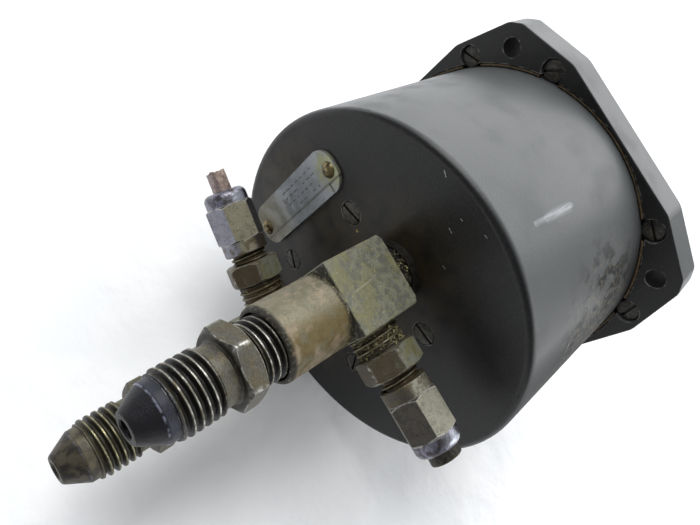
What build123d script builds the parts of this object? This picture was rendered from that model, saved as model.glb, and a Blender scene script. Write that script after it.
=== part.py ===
# Dual pressure torquemeter indicator: round instrument case with a lobed
# mounting flange, two rear tee fittings with flared nipples, and inside it
# two Bourdon tube movements behind one dial.
#
# Origin: centre of the bolt pattern on the flange's rear face.
# +Y runs out of the rear of the case, +Z is twelve o'clock, all in millimetres.
import math
import os

from build123d import *

os.makedirs("parts", exist_ok=True)

# General clearances, and how far a cut runs past the face that it opens
running_clearance = 0.05
seat_clearance = 0.02
free_gap = 0.3
cut_past = 1.0
full_turn = 360.0

# Case cup
barrel_radius = 39.62
barrel_length = 50.5
barrel_wall = 1.8
rear_wall = 3.0
rear_rim_round = 1.6
case_lip_thickness = 2.0

# Mounting flange, sized from the barrel that it holds
seal_gap = 0.98
flange_edge_round = 0.4
flange_side_wall = 0.68
flange_thickness = 8.8
flange_flat_half_length = 19.5
mount_hole_stand_off = 4.83
mount_hole_radius = 2.3
lobe_reach = 5.17
lobe_slant = 2.6
lobe_round = 3.0
flat_end_round = 6.0
window_ledge = 5.6
window_lip = 1.8
window_bevel = 0.9

# Glass and its gaskets
gasket_thickness = 0.5
gasket_width = 4.6
glass_thickness = 1.6

# Screws that clamp the case into the flange
flange_screw_offset = 1.6
flange_screw_head_radius = 2.52
flange_screw_head = 1.7
flange_screw_radius = 1.4
flange_screw_length = 5.0
counterbore_gap = 0.33
flange_screw_angles = (30, 60, 120, 150, 210, 240, 300, 330)
flange_slot_angles = (157, 126, 20, 75, 110, 50, 165, 128)
slot_width = 0.75
slot_depth = 0.8
head_edge = 0.25

# Socket block inside the rear wall
socket_half_width = 18.2
socket_thickness = 9.0
socket_margin = 0.5
socket_round = 3.0
oil_way_radius = 0.8
oil_way_back_angle = 1.2
ports_middle_x = 1.0
ports_middle_z = -3.4
socket_screw_x = 14.4
socket_screw_z = 13.2
socket_screw_head_radius = 2.45
socket_screw_head_gap = 0.15
socket_screw_head = 1.6
socket_screw_radius = 1.5
socket_screw_length = 6.5
socket_slot_angles = (165, 31, 170, 60)

# Pressure ports
port_x = 0.9
port_half_spacing = 15.0
port_stem_radius = 4.5
port_stem_grip = 2.0
port_bore_radius = 1.5
port_washer_radius = 6.8
port_washer_thickness = 2.0
port_locknut_flats = 12.0
port_locknut_thickness = 3.0
lower_tee_turn = 15.9

# Tee fittings
tee_side = 14.8
tee_corner_turned = 9.7
tee_edge_round = 0.45
tee_step = 0.12
tee_turned_length_upper = 13.8
tee_turned_length_lower = 18.3
tee_mouth_round = 0.9
tee_recess_gap = 0.45
tee_recess_depth = 2.6
tee_bore_reserve = 2.0

# Shape of every thread crest, as shares of its pitch
thread_root_share = 0.12
thread_flank_share = 0.32
thread_crest_share = 0.18
hexagon_bevel_angle = 30.0
hexagon_edge_round = 0.25

# Flared nipples
nipple_thread_radius = 5.9
nipple_thread_depth = 0.8
nipple_pitch = 1.45
nipple_inner_length = 7.0
nipple_gap = 4.6
nipple_hex_flats = 13.5
nipple_hex = 4.0
nipple_hex_turn = 46.0
nipple_collar_radius = 5.3
nipple_collar = 3.2
nipple_thread_length = 7.25
nipple_lead_radius = 5.15
nipple_lead = 1.9
nipple_cone_radius = 4.95
nipple_cone = 3.9
nipple_nose_radius = 2.7
nipple_bore_radius = 1.6
lower_nipple_extra = 1.1

# Side branches of the tees
branch_inner_radius = 5.0
branch_inner_length = 4.0
branch_pitch = 1.25
branch_thread_depth = 0.6
branch_neck_upper = 4.4
branch_neck_lower = 6.6
branch_hex_flats = 11.1
branch_hex = 4.8
upper_adapter_turn = 32.0
lower_adapter_turn = 8.0
branch_thread_radius = 4.0
branch_thread_length = 7.4
branch_bore_radius = 1.2
nut_stand_off = 2.1
nut_collar_radius = 4.85
nut_collar = 2.9
nut_collar_round = 0.3
nut_flats = 9.5
nut_hex = 8.2
nut_end = 3.2
nut_end_round = 1.6
nut_bore_depth = 8.4
nut_pitch = 1.0
upper_nut_turn = 3.5
lower_nut_turn = 44.0
plug_head_radius = 3.9
plug_stem_radius = 3.2
plug_proud = 1.9
plug_dimple_radius = 1.6
plug_dimple_depth = 0.8
tube_radius = 2.1
tube_bore_radius = 1.3
tube_proud = 4.7
tube_break_drop = 0.3
tube_break_lean = 8.0
tube_break_turn = 10.0
tube_notch_width = 1.1
tube_notch_depth = 0.8
tube_notch_turn = 40.0

# Nameplate on the rear face
plate_rim_gap = 9.42
plate_width = 9.6
plate_low_z = -20.0
plate_length = 33.7
plate_thickness = 0.8
plate_corner = 4.0
plate_lip_width = 2.2
plate_lip_rise = 0.35
rivet_from_inner_edge = 4.6
rivet_from_end = 2.3
rivet_radius = 1.8
rivet_rise = 1.1
rivet_stem_radius = 0.7
rivet_grip = 1.8

# Bourdon tubes
bourdon_case_gap = 8.82
bourdon_depth = 7.0
bourdon_thickness = 2.5
bourdon_wall = 0.35
bourdon_edge_round = 1.2
bourdon_start_angle = -60.0
bourdon_tip_angle = 138.0
left_bourdon_front = 9.0
right_bourdon_front = 21.5
post_width = 6.4
post_depth = 6.2
tip_width = 4.6
tip_wall = 0.9
tip_grip_angle = 5.0

# Movement frame, inside the ring of the tubes
plate_tube_gap = 5.5
plate_top_drop = 2.9
front_plate_front = 5.0
front_plate = 1.2
back_plate_front = 17.0
back_plate = 1.2
pillar_radius = 1.6
pillar_inset = 4.5
pillar_angles = (189, 270, 351)
stand_off_radius = 2.6
stand_off_inset = 6.0
stand_off_angles = (90, 225, 315)
small_screw_radius = 0.9
small_screw_head_radius = 1.7
small_screw_head = 0.8
small_screw_length = 3.6
small_slot_width = 0.4
small_slot_depth = 0.35

# Geared movement, one on each side
staff_inset = 13.5
staff_z = -3.0
gear_module = 0.3
pinion_teeth = 12
sector_teeth = 80
tooth_addendum = 0.8
tooth_dedendum = 1.15
tooth_tip_share = 0.12
tooth_root_share = 0.34
mesh_angle = 270.0
mesh_margin_angle = 6.0
pointer_travel = 110.0
sector_travel = pointer_travel * pinion_teeth / sector_teeth
sector_front = 10.4
sector_thickness = 1.2
pinion_face = 2.2
sector_hub_radius = 2.6
sector_rim_width = 1.8
sector_tail = 8.0
sector_tail_width = 1.8
arbor_radius = 1.1
staff_radius = 0.9
pivot_radius = 0.6
pivot_end = 0.4
staff_front = -2.0
link_thickness = 0.8
link_width = 1.4
link_eye_radius = 1.3
link_pin_radius = 0.5
link_pin_overhang = 0.4
tip_pin_reach = 3.6
tip_pin_radius = 0.9
spring_turn_count = 6
spring_step_count = 24
spring_inner_radius = 1.45
spring_pitch = 0.5
spring_strip = 0.14
spring_height = 0.6
spring_front = 13.8
spring_stud_radius = 0.55
collet_radius = 1.3

# Dial and pointers
dial_front = 1.0
dial_thickness = 0.8
dial_case_gap = 0.42
dial_hole_radius = 1.5
dial_foot_radius = 1.8
dial_foot_inset = 4.9
dial_foot_angles = (90, 227, 313)
mark_thickness = 0.08
mark_outer_radius = 22.6
mark_long = 3.6
mark_short = 2.0
mark_wide = 0.9
mark_thin = 0.45
mark_band = 0.5
long_mark_count = 6
short_mark_count = 4
pointer_rest_angle = 235.0
pointer_length = 19.5
pointer_point = 1.2
pointer_tail = 6.0
pointer_hub_radius = 2.3
pointer_root_width = 1.7
pointer_tip_width = 0.8
pointer_tail_width = 2.4
pointer_thickness = 0.6
pointer_front = -1.5
pointer_boss_radius = 1.3
pointer_boss = 0.9

# Places worked out from the sizes above
flange_bore_radius = barrel_radius + seal_gap
flange_half_width = flange_bore_radius + flange_side_wall
window_radius = flange_bore_radius - window_ledge
mount_hole_offset = (barrel_radius + mount_hole_stand_off) / math.sqrt(2)
lobe_far = mount_hole_offset + lobe_reach
lobe_near = lobe_far - lobe_slant
flange_screw_circle = flange_bore_radius + flange_screw_offset
counterbore_radius = flange_screw_head_radius + counterbore_gap
glass_back = -flange_thickness + window_lip + gasket_thickness + glass_thickness
case_front = glass_back + gasket_thickness
screw_seat = case_front + case_lip_thickness
barrel_inner_radius = barrel_radius - barrel_wall
wall_inner = barrel_length - rear_wall
socket_front = wall_inner - socket_thickness
upper_port_z = ports_middle_z + port_half_spacing
lower_port_z = ports_middle_z - port_half_spacing
washer_back = barrel_length + port_washer_thickness
tee_front = washer_back + port_locknut_thickness
tee_square_back = tee_front + tee_side
branch_y = tee_front + tee_side / 2
plate_inner_x = barrel_radius - plate_rim_gap - plate_width
bourdon_radius = barrel_inner_radius - bourdon_case_gap
movement_radius = bourdon_radius - plate_tube_gap
movement_top_z = movement_radius - plate_top_drop
pillar_circle = movement_radius - pillar_inset
stand_off_circle = movement_radius - stand_off_inset
dial_foot_circle = movement_radius - dial_foot_inset
dial_radius = barrel_inner_radius - dial_case_gap
back_plate_back = back_plate_front + back_plate
front_plate_back = front_plate_front + front_plate
dial_back = dial_front + dial_thickness
staff_x = movement_radius - staff_inset
pinion_radius = gear_module * pinion_teeth / 2
sector_radius = gear_module * sector_teeth / 2
sector_z = staff_z + pinion_radius + sector_radius
link_front = sector_front + sector_thickness + link_pin_overhang
link_back = link_front + link_thickness
tail_angle = 90.0 - sector_travel / 2
tip_pin_circle = bourdon_radius - tip_pin_reach


def face_plane(y):
    """Plane at height y whose local x and y are the row's X and Z."""
    return Plane.XZ.offset(-y)


def slab(sketch, front, back):
    """Solid between two Y values, from a sketch drawn in X and Z."""
    return extrude(face_plane(back) * sketch, back - front)


def disc(radius, front, back, x=0.0, z=0.0):
    return Pos(x, 0, z) * slab(Circle(radius), front, back)


def turned(profile, x=0.0, z=0.0):
    """Body of revolution about a Y axis, from (radius, y) points."""
    points = [here for here, before in zip(profile, [None] + list(profile[:-1])) if here != before]
    face = make_face(Polyline(*points, close=True))
    return Pos(x, 0, z) * revolve(face, Axis.Y, full_turn)


def bevelled_hexagon(flats, front, back):
    """Hexagon bar whose corners are turned off to a bevel."""
    corner = flats / math.sqrt(3)
    face_radius = flats / 2
    drop = (corner - face_radius) * math.tan(math.radians(hexagon_bevel_angle))
    profile = [(0, front), (face_radius, front), (corner, front + drop), (corner, back - drop)]
    profile += [(face_radius, back), (0, back)]
    outline = RegularPolygon(face_radius, 6, major_radius=False)
    outline = fillet(outline.vertices(), hexagon_edge_round)
    bar = slab(outline, front, back)
    return bar & turned(profile)


def thread_profile(start, length, crest, depth, pitch):
    """Points of ring-like thread crests along +Y, from start."""
    points = [(crest - depth, start)]
    crest_from = thread_root_share + thread_flank_share
    crest_to = crest_from + thread_crest_share
    for turn in range(round(length / pitch - 0.5 + thread_root_share)):
        root_y = start + turn * pitch
        points.append((crest - depth, root_y + thread_root_share * pitch))
        points.append((crest, root_y + crest_from * pitch))
        points.append((crest, root_y + crest_to * pitch))
        points.append((crest - depth, root_y + (crest_to + thread_flank_share) * pitch))
    points.append((crest - depth, start + length))
    return points


def slotted_head(radius, front, back, angle, width, depth, x, z):
    """Cylindrical screw head with its slot cut from the back face."""
    rim = radius - head_edge
    head = turned([(0, front), (radius, front), (radius, back - head_edge), (rim, back), (0, back)])
    slot = slab(Rot(0, 0, angle) * Rectangle(3 * radius, width), back - depth, back + depth)
    return Pos(x, 0, z) * (head - slot)


def front_screw(head_front, x, z):
    """Small slotted screw whose head faces the dial side."""
    head_back = head_front + small_screw_head
    head = disc(small_screw_head_radius, head_front, head_back)
    slot_box = Rectangle(3 * small_screw_head_radius, small_slot_width)
    head -= slab(slot_box, head_front - small_slot_depth, head_front + small_slot_depth)
    shank = disc(small_screw_radius, head_back, head_back + small_screw_length)
    return Pos(x, 0, z) * (head + shank)


def on_circle(radius, angle):
    return radius * math.cos(math.radians(angle)), radius * math.sin(math.radians(angle))


def mirrored(shape):
    return mirror(shape, about=Plane.YZ)


parts = {}


def keep(name, *solids):
    """Store one named node, as one solid or as a group of like solids."""
    parts[name] = solids[0] if len(solids) == 1 else Compound(children=list(solids))


def cut_disc(radius, front, back, x=0.0, z=0.0):
    """Round cut that also runs past both of its ends."""
    return disc(radius, front - cut_past, back + cut_past, x, z)


def corners_at(outline, x, z):
    """Corners of an outline that lie as far from its centre as one point does."""
    reach = math.hypot(x, z)
    return [v for v in outline.vertices() if math.isclose(math.hypot(v.X, v.Y), reach, abs_tol=0.01)]


def flange_outline():
    """Four flats joined by four lobes, with rounded corners."""
    quarter = [
        (flange_half_width, -flange_flat_half_length),
        (flange_half_width, flange_flat_half_length),
        (lobe_far, lobe_near),
        (lobe_near, lobe_far),
    ]
    corners = []
    for turn in range(4):
        corners += quarter
        quarter = [(-z, x) for x, z in quarter]
    outline = make_face(Polyline(*corners, close=True))
    outline = fillet(corners_at(outline, lobe_far, lobe_near), lobe_round)
    return fillet(corners_at(outline, flange_half_width, flange_flat_half_length), flat_end_round)


# Mounting flange
flange = slab(flange_outline(), -flange_thickness, 0)
flange_faces = flange.edges().group_by(Axis.Y)
flange = fillet(flange_faces[0] + flange_faces[-1], flange_edge_round)
flange -= disc(flange_bore_radius, -flange_thickness + window_lip, cut_past)
flange -= turned(
    [
        (0, -flange_thickness - cut_past),
        (window_radius + window_bevel + cut_past, -flange_thickness - cut_past),
        (window_radius, -flange_thickness + window_bevel),
        (window_radius, 0),
        (0, 0),
    ]
)
for x_side in (-1, 1):
    for z_side in (-1, 1):
        hole = (x_side * mount_hole_offset, z_side * mount_hole_offset)
        flange -= cut_disc(mount_hole_radius, -flange_thickness, 0, *hole)
flange_screws = []
case_seal = disc(flange_bore_radius - seat_clearance, screw_seat, -free_gap)
case_seal -= cut_disc(barrel_radius + seat_clearance, screw_seat, 0)
screw_tip = screw_seat - flange_screw_length
head_back = screw_seat + flange_screw_head
for angle, slot_angle in zip(flange_screw_angles, flange_slot_angles):
    x, z = on_circle(flange_screw_circle, angle)
    flange -= disc(counterbore_radius, screw_seat, cut_past, x, z)
    flange -= disc(flange_screw_radius + running_clearance, screw_tip - free_gap, cut_past, x, z)
    case_seal -= cut_disc(counterbore_radius, screw_seat, 0, x, z)
    head = slotted_head(
        flange_screw_head_radius, screw_seat, head_back, slot_angle, slot_width, slot_depth, x, z
    )
    flange_screws.append(head + disc(flange_screw_radius, screw_tip, screw_seat, x, z))
keep("flange", flange)
keep("flange_screws", *flange_screws)
keep("case_seal", *case_seal.solids())

# Glass between two gaskets
gasket_outer = flange_bore_radius - seat_clearance
gasket_inner = gasket_outer - gasket_width
front_gasket_front = -flange_thickness + window_lip
glass_front = front_gasket_front + gasket_thickness
gaskets = []
for front in (front_gasket_front, glass_back):
    ring = disc(gasket_outer, front, front + gasket_thickness)
    gaskets.append(ring - cut_disc(gasket_inner, front, front + gasket_thickness))
keep("glass_gaskets", *gaskets)
keep("glass", disc(gasket_outer - seat_clearance, glass_front, glass_back))

# Case cup with an outward lip at its mouth
lip_radius = flange_bore_radius - seat_clearance
case = turned(
    [
        (barrel_inner_radius, case_front),
        (lip_radius, case_front),
        (lip_radius, screw_seat),
        (barrel_radius, screw_seat),
        (barrel_radius, barrel_length),
        (0, barrel_length),
        (0, wall_inner),
        (barrel_inner_radius, wall_inner),
    ]
)
rear_rim = case.edges().filter_by(GeomType.CIRCLE).group_by(Axis.Y)[-1]
case = fillet(rear_rim.sort_by(SortBy.LENGTH)[-1], rear_rim_round)
socket_screws = []
screw_places = [(1, 1), (1, -1), (-1, 1), (-1, -1)]
rear_head_front = barrel_length - socket_screw_head
for (x_side, z_side), slot_angle in zip(screw_places, socket_slot_angles):
    x = ports_middle_x + x_side * socket_screw_x
    z = ports_middle_z + z_side * socket_screw_z
    head_hole = socket_screw_head_radius + socket_screw_head_gap
    case -= disc(head_hole, rear_head_front, barrel_length + cut_past, x, z)
    case -= disc(socket_screw_radius + running_clearance, wall_inner - cut_past, barrel_length, x, z)
    head = slotted_head(
        socket_screw_head_radius, rear_head_front, barrel_length, slot_angle, slot_width, slot_depth, x, z
    )
    shank = disc(socket_screw_radius, rear_head_front - socket_screw_length, rear_head_front, x, z)
    socket_screws.append(head + shank)
for z in (upper_port_z, lower_port_z):
    case -= cut_disc(port_stem_radius + running_clearance, wall_inner, barrel_length, port_x, z)
keep("socket_screws", *socket_screws)

# Nameplate, with a folded lip along its inner edge and two round rivets
plate_x = plate_inner_x + plate_width / 2
plate_z = plate_low_z + plate_length / 2
plate_shape = Pos(plate_x, plate_z) * Rectangle(plate_width, plate_length)
plate_shape = fillet(plate_shape.vertices(), plate_corner)
nameplate = slab(plate_shape, barrel_length, barrel_length + plate_thickness)
lip_shape = Pos(plate_inner_x + plate_lip_width / 2, plate_z) * Rectangle(
    plate_lip_width, plate_length - 2 * plate_corner
)
nameplate += slab(lip_shape, barrel_length, barrel_length + plate_thickness + plate_lip_rise)
rivets = []
rivet_x = plate_inner_x + rivet_from_inner_edge
plate_face = barrel_length + plate_thickness
rivet_front = barrel_length - rivet_grip
dome_radius = (rivet_radius**2 + rivet_rise**2) / (2 * rivet_rise)
for z in (plate_low_z + rivet_from_end, plate_low_z + plate_length - rivet_from_end):
    hole_radius = rivet_stem_radius + running_clearance
    hole = disc(hole_radius, rivet_front - free_gap, plate_face + cut_past, rivet_x, z)
    nameplate -= hole
    case -= hole
    dome = Pos(rivet_x, plate_face + rivet_rise - dome_radius, z) * Sphere(dome_radius)
    dome &= disc(rivet_radius, plate_face, plate_face + rivet_rise, rivet_x, z)
    rivets.append(disc(rivet_stem_radius, rivet_front, plate_face, rivet_x, z) + dome)
keep("case", case)
keep("nameplate", nameplate)
keep("nameplate_rivets", *rivets)

# Socket block: ports out of the rear, Bourdon posts and oil ways inside
left_start = on_circle(bourdon_radius, bourdon_start_angle)
block_low = left_start[1] - post_depth / 2 - socket_margin
block_high = stand_off_circle + stand_off_radius + socket_margin
block_size = Rectangle(2 * socket_half_width, block_high - block_low)
block_shape = Pos(0, (block_low + block_high) / 2) * fillet(block_size.vertices(), socket_round)
socket_block = slab(block_shape, socket_front, wall_inner)


def bourdon_ring(front, grow):
    """Flattened ring of the tube's shape, from its start to its tip, grown all round."""
    size = Rectangle(bourdon_thickness + 2 * grow, bourdon_depth + 2 * grow)
    section = Pos(bourdon_radius, front + bourdon_depth / 2) * size
    section = fillet(section.vertices(), bourdon_edge_round + grow)
    ring = revolve(section, Axis((0, 0, 0), (0, -1, 0)), bourdon_tip_angle - bourdon_start_angle)
    return Rot(0, -bourdon_start_angle, 0) * ring


def bourdon_post(front):
    """Post of the socket block with a pocket for the left tube's first stretch."""
    post = slab(Pos(*left_start) * Rectangle(post_width, post_depth), front - free_gap, socket_front)
    return post - bourdon_ring(front, seat_clearance)


socket_block += bourdon_post(left_bourdon_front)
socket_block += mirrored(bourdon_post(right_bourdon_front))
oil_way_y = socket_front + socket_thickness / 2
up_post = on_circle(bourdon_radius, bourdon_start_angle - oil_way_back_angle)
for port_z, side, tube_front in (
    (upper_port_z, 1, left_bourdon_front),
    (lower_port_z, -1, right_bourdon_front),
):
    stem_back = tee_front + port_stem_grip
    socket_block += disc(port_stem_radius, wall_inner, stem_back, port_x, port_z)
    socket_block -= disc(port_bore_radius, oil_way_y, stem_back + cut_past, port_x, port_z)
    way = Vector(side * up_post[0] - port_x, 0, up_post[1] - port_z)
    drill = Plane(origin=(port_x, oil_way_y, port_z), z_dir=way)
    socket_block -= drill * extrude(Circle(oil_way_radius), way.length)
    tube_middle = tube_front + bourdon_depth / 2
    socket_block -= disc(oil_way_radius, tube_middle, oil_way_y, side * up_post[0], up_post[1])
for x_side, z_side in screw_places:
    x = ports_middle_x + x_side * socket_screw_x
    z = ports_middle_z + z_side * socket_screw_z
    tip = rear_head_front - socket_screw_length - free_gap
    socket_block -= disc(socket_screw_radius + running_clearance, tip, wall_inner + cut_past, x, z)

# Washers and locknuts between the case and the tees
washers = []
locknuts = []
for z in (upper_port_z, lower_port_z):
    hole = cut_disc(port_stem_radius + running_clearance, barrel_length, tee_front, port_x, z)
    washers.append(disc(port_washer_radius, barrel_length, washer_back, port_x, z) - hole)
    locknut = Pos(port_x, 0, z) * bevelled_hexagon(port_locknut_flats, washer_back, tee_front)
    locknuts.append(locknut - hole)
keep("port_washers", *washers)
keep("port_locknuts", *locknuts)


# Tees and flared nipples
def tee(turned_length):
    """Square bar turned round at its outer end, bored from three sides."""
    back = tee_square_back + turned_length
    corner = tee_side / math.sqrt(2)
    turned_off = corner - tee_corner_turned
    square = RectangleRounded(tee_side, tee_side, tee_edge_round)
    body = slab(square, tee_front, tee_square_back)
    body = fillet(body.edges().group_by(Axis.Y)[-1], tee_edge_round)
    body &= turned(
        [
            (0, tee_front),
            (tee_corner_turned, tee_front),
            (corner, tee_front + turned_off),
            (corner, tee_square_back),
            (0, tee_square_back),
        ]
    )
    barrel = disc(tee_side / 2 - tee_step, tee_square_back - tee_edge_round - tee_mouth_round, back)
    mouth = barrel.edges().filter_by(GeomType.CIRCLE).sort_by(Axis.Y)[-1]
    body += fillet(mouth, tee_mouth_round)
    bore_end = back - nipple_inner_length - tee_bore_reserve
    recess_radius = nipple_thread_radius + tee_recess_gap
    body -= disc(recess_radius, back - tee_recess_depth, back + cut_past)
    body -= disc(nipple_thread_radius + running_clearance, bore_end, back)
    body -= disc(port_bore_radius, tee_front, back)
    stem_hole = port_stem_radius + running_clearance
    body -= disc(stem_hole, tee_front - cut_past, tee_front + port_stem_grip)
    side_drill = Pos(0, branch_y, 0) * Rot(0, 0, 90)
    branch_hole = branch_inner_radius + running_clearance
    mouth_y = tee_side / 2
    body -= side_drill * disc(branch_hole, mouth_y - branch_inner_length, mouth_y + cut_past)
    body -= side_drill * disc(port_bore_radius, 0, mouth_y)
    return body


def nipple(base):
    """Union with an inner thread, a hexagon, an outer thread and a flare cone."""
    hex_front = base + nipple_gap
    hex_back = hex_front + nipple_hex
    collar_back = hex_back + nipple_collar
    thread_back = collar_back + nipple_thread_length
    lead_back = thread_back + nipple_lead
    inner_front = base - nipple_inner_length
    root = nipple_thread_radius - nipple_thread_depth
    inner_length = hex_front - inner_front
    profile = [(nipple_bore_radius, inner_front)]
    profile += thread_profile(
        inner_front, inner_length, nipple_thread_radius, nipple_thread_depth, nipple_pitch
    )
    profile += [(root, hex_back), (nipple_collar_radius, hex_back), (nipple_collar_radius, collar_back)]
    profile += thread_profile(
        collar_back, nipple_thread_length, nipple_thread_radius, nipple_thread_depth, nipple_pitch
    )
    profile += [
        (nipple_lead_radius, thread_back),
        (nipple_cone_radius, lead_back),
        (nipple_nose_radius, lead_back + nipple_cone),
        (nipple_bore_radius, lead_back + nipple_cone),
    ]
    hexed = bevelled_hexagon(nipple_hex_flats, hex_front, hex_back)
    return turned(profile) + (hexed - cut_disc(root, hex_front, hex_back))


upper_mouth = tee_square_back + tee_turned_length_upper
lower_mouth = tee_square_back + tee_turned_length_lower
upper_place = Pos(port_x, 0, upper_port_z)
lower_place = Pos(port_x, 0, lower_port_z)
keep("tee_upper", upper_place * tee(tee_turned_length_upper))
keep("tee_lower", lower_place * Rot(0, 180 - lower_tee_turn, 0) * tee(tee_turned_length_lower))
keep("nipple_upper", upper_place * Rot(0, nipple_hex_turn, 0) * nipple(upper_mouth))
keep("nipple_lower", lower_place * Rot(0, nipple_hex_turn, 0) * nipple(lower_mouth + lower_nipple_extra))

# Side branches, drawn along +Y from the port axis and then swung into place
to_upper_branch = Pos(port_x, branch_y, upper_port_z) * Rot(0, 0, 90)
to_lower_branch = Pos(port_x, branch_y, lower_port_z) * Rot(0, -lower_tee_turn, 0) * Rot(0, 0, -90)


def branch_adapter(neck):
    """Hexagon adapter screwed into the tee, with a male thread for the nut."""
    face = tee_side / 2
    inner_front = face - branch_inner_length + free_gap
    hex_front = face + neck
    hex_back = hex_front + branch_hex
    root = branch_thread_radius - branch_thread_depth
    end = hex_back + branch_thread_length
    profile = [(branch_bore_radius, inner_front)]
    profile += thread_profile(
        inner_front, hex_front - inner_front, branch_inner_radius, branch_thread_depth, branch_pitch
    )
    profile += [(root, hex_front), (root, hex_back)]
    profile += thread_profile(
        hex_back, branch_thread_length, branch_thread_radius, branch_thread_depth, nut_pitch
    )
    profile += [(branch_bore_radius, end)]
    hexed = bevelled_hexagon(branch_hex_flats, hex_front, hex_back)
    return turned(profile) + (hexed - cut_disc(root, hex_front, hex_back))


def union_nut(start, exit_radius):
    """Long nut: round collar, hexagon and rounded end, bored from both ends."""
    collar_back = start + nut_collar
    hex_back = collar_back + nut_hex
    back = hex_back + nut_end
    body = disc(nut_collar_radius, start, collar_back)
    body = fillet(body.edges().group_by(Axis.Y)[0], nut_collar_round)
    body += bevelled_hexagon(nut_flats, collar_back, hex_back)
    end = disc(nut_flats / 2, hex_back, back)
    rim = end.edges().filter_by(GeomType.CIRCLE).sort_by(Axis.Y)[-1]
    body += fillet(rim, nut_end_round)
    body -= disc(branch_thread_radius + running_clearance, start - cut_past, start + nut_bore_depth)
    body -= disc(exit_radius + running_clearance, start, back + cut_past)
    return body


def branch_length(neck):
    return tee_side / 2 + neck + branch_hex + branch_thread_length


upper_seat = branch_length(branch_neck_upper)
lower_seat = branch_length(branch_neck_lower)
upper_nut_start = upper_seat - branch_thread_length + nut_stand_off
lower_nut_start = lower_seat - branch_thread_length + nut_stand_off
nut_length = nut_collar + nut_hex + nut_end
upper_shoulder = upper_nut_start + nut_bore_depth
lower_shoulder = lower_nut_start + nut_bore_depth
plug_back = upper_nut_start + nut_length + plug_proud
plug = turned(
    [
        (0, upper_seat + seat_clearance),
        (plug_head_radius, upper_seat + seat_clearance),
        (plug_head_radius, upper_shoulder - seat_clearance),
        (plug_stem_radius, upper_shoulder - seat_clearance),
        (plug_stem_radius, plug_back),
        (plug_dimple_radius, plug_back),
        (0, plug_back - plug_dimple_depth),
    ]
)
tube_back = lower_nut_start + nut_length + tube_proud
tube = turned(
    [
        (tube_bore_radius, lower_seat + seat_clearance),
        (plug_head_radius, lower_seat + seat_clearance),
        (plug_head_radius, lower_shoulder - seat_clearance),
        (tube_radius, lower_shoulder - seat_clearance),
        (tube_radius, tube_back),
        (tube_bore_radius, tube_back),
    ]
)
# The tube is snapped off: a slanting end with a notch in its rim
from_face = (Align.CENTER, Align.MIN, Align.CENTER)
broken_end = Box(tube_proud, tube_proud, tube_proud, align=from_face)
break_tilt = Rot(tube_break_lean, 0, tube_break_turn)
tube -= Pos(0, tube_back - tube_break_drop, 0) * break_tilt * broken_end
notch = Box(2 * (tube_radius - tube_bore_radius), 2 * tube_notch_depth, tube_notch_width)
tube -= Pos(tube_radius, tube_back - tube_break_drop, 0) * Rot(0, 0, tube_notch_turn) * notch
tube = tube.solids().sort_by(SortBy.VOLUME)[-1]
upper_adapter = Rot(0, upper_adapter_turn, 0) * branch_adapter(branch_neck_upper)
lower_adapter = Rot(0, lower_adapter_turn, 0) * branch_adapter(branch_neck_lower)
keep("branch_adapter_upper", to_upper_branch * upper_adapter)
keep("branch_adapter_lower", to_lower_branch * lower_adapter)
cap_nut = union_nut(upper_nut_start, plug_stem_radius)
tube_nut = union_nut(lower_nut_start, tube_radius)
keep("cap_nut_upper", to_upper_branch * Rot(0, upper_nut_turn, 0) * cap_nut)
keep("tube_nut_lower", to_lower_branch * Rot(0, lower_nut_turn, 0) * tube_nut)
keep("blanking_plug", to_upper_branch * plug)
keep("tube_stub", to_lower_branch * tube)


# Bourdon tubes with their tip pieces
def bourdon_tube(front):
    return bourdon_ring(front, 0) - bourdon_ring(front, -bourdon_wall)


def bourdon_tip(front):
    """Cap soldered on the tube's free end, with a pin for the link."""
    middle = bourdon_tip_angle - tip_grip_angle / 2
    x, z = on_circle(bourdon_radius, middle)
    size = Rectangle(bourdon_thickness + 2 * tip_wall, tip_width)
    body = slab(Pos(x, z) * Rot(0, 0, middle) * size, front - tip_wall, front + bourdon_depth + tip_wall)
    body -= bourdon_ring(front, seat_clearance)
    pin_x, pin_z = on_circle(tip_pin_circle, middle)
    arm_end = bourdon_radius - bourdon_thickness / 2 - tip_wall / 2
    arm_front = max(front + tip_wall, link_back + free_gap)
    arm_place = Pos(*on_circle((tip_pin_circle + arm_end) / 2, middle))
    arm_size = Rectangle(arm_end - tip_pin_circle, 2 * tip_pin_radius)
    arm_back = front + bourdon_depth - tip_wall
    body += slab(arm_place * Rot(0, 0, middle) * arm_size, arm_front, arm_back)
    body += disc(tip_pin_radius, link_back + free_gap, arm_back, pin_x, pin_z)
    body += disc(link_pin_radius, link_front - link_pin_overhang, link_back + 2 * free_gap, pin_x, pin_z)
    return body


tip_pin_x, tip_pin_z = on_circle(tip_pin_circle, bourdon_tip_angle - tip_grip_angle / 2)
keep("bourdon_tube_left", bourdon_tube(left_bourdon_front))
keep("bourdon_tube_right", mirrored(bourdon_tube(right_bourdon_front)))
keep("bourdon_tip_left", bourdon_tip(left_bourdon_front))
keep("bourdon_tip_right", mirrored(bourdon_tip(right_bourdon_front)))


# Movement frame: two plates, pillars, stand-offs and screws
def movement_plate(front, back):
    outline = Circle(movement_radius) & Rectangle(2 * movement_radius, 2 * movement_top_z)
    body = slab(outline, front, back)
    for side in (-1, 1):
        for z in (staff_z, sector_z):
            body -= cut_disc(pivot_radius + running_clearance, front, back, side * staff_x, z)
    return body


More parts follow.
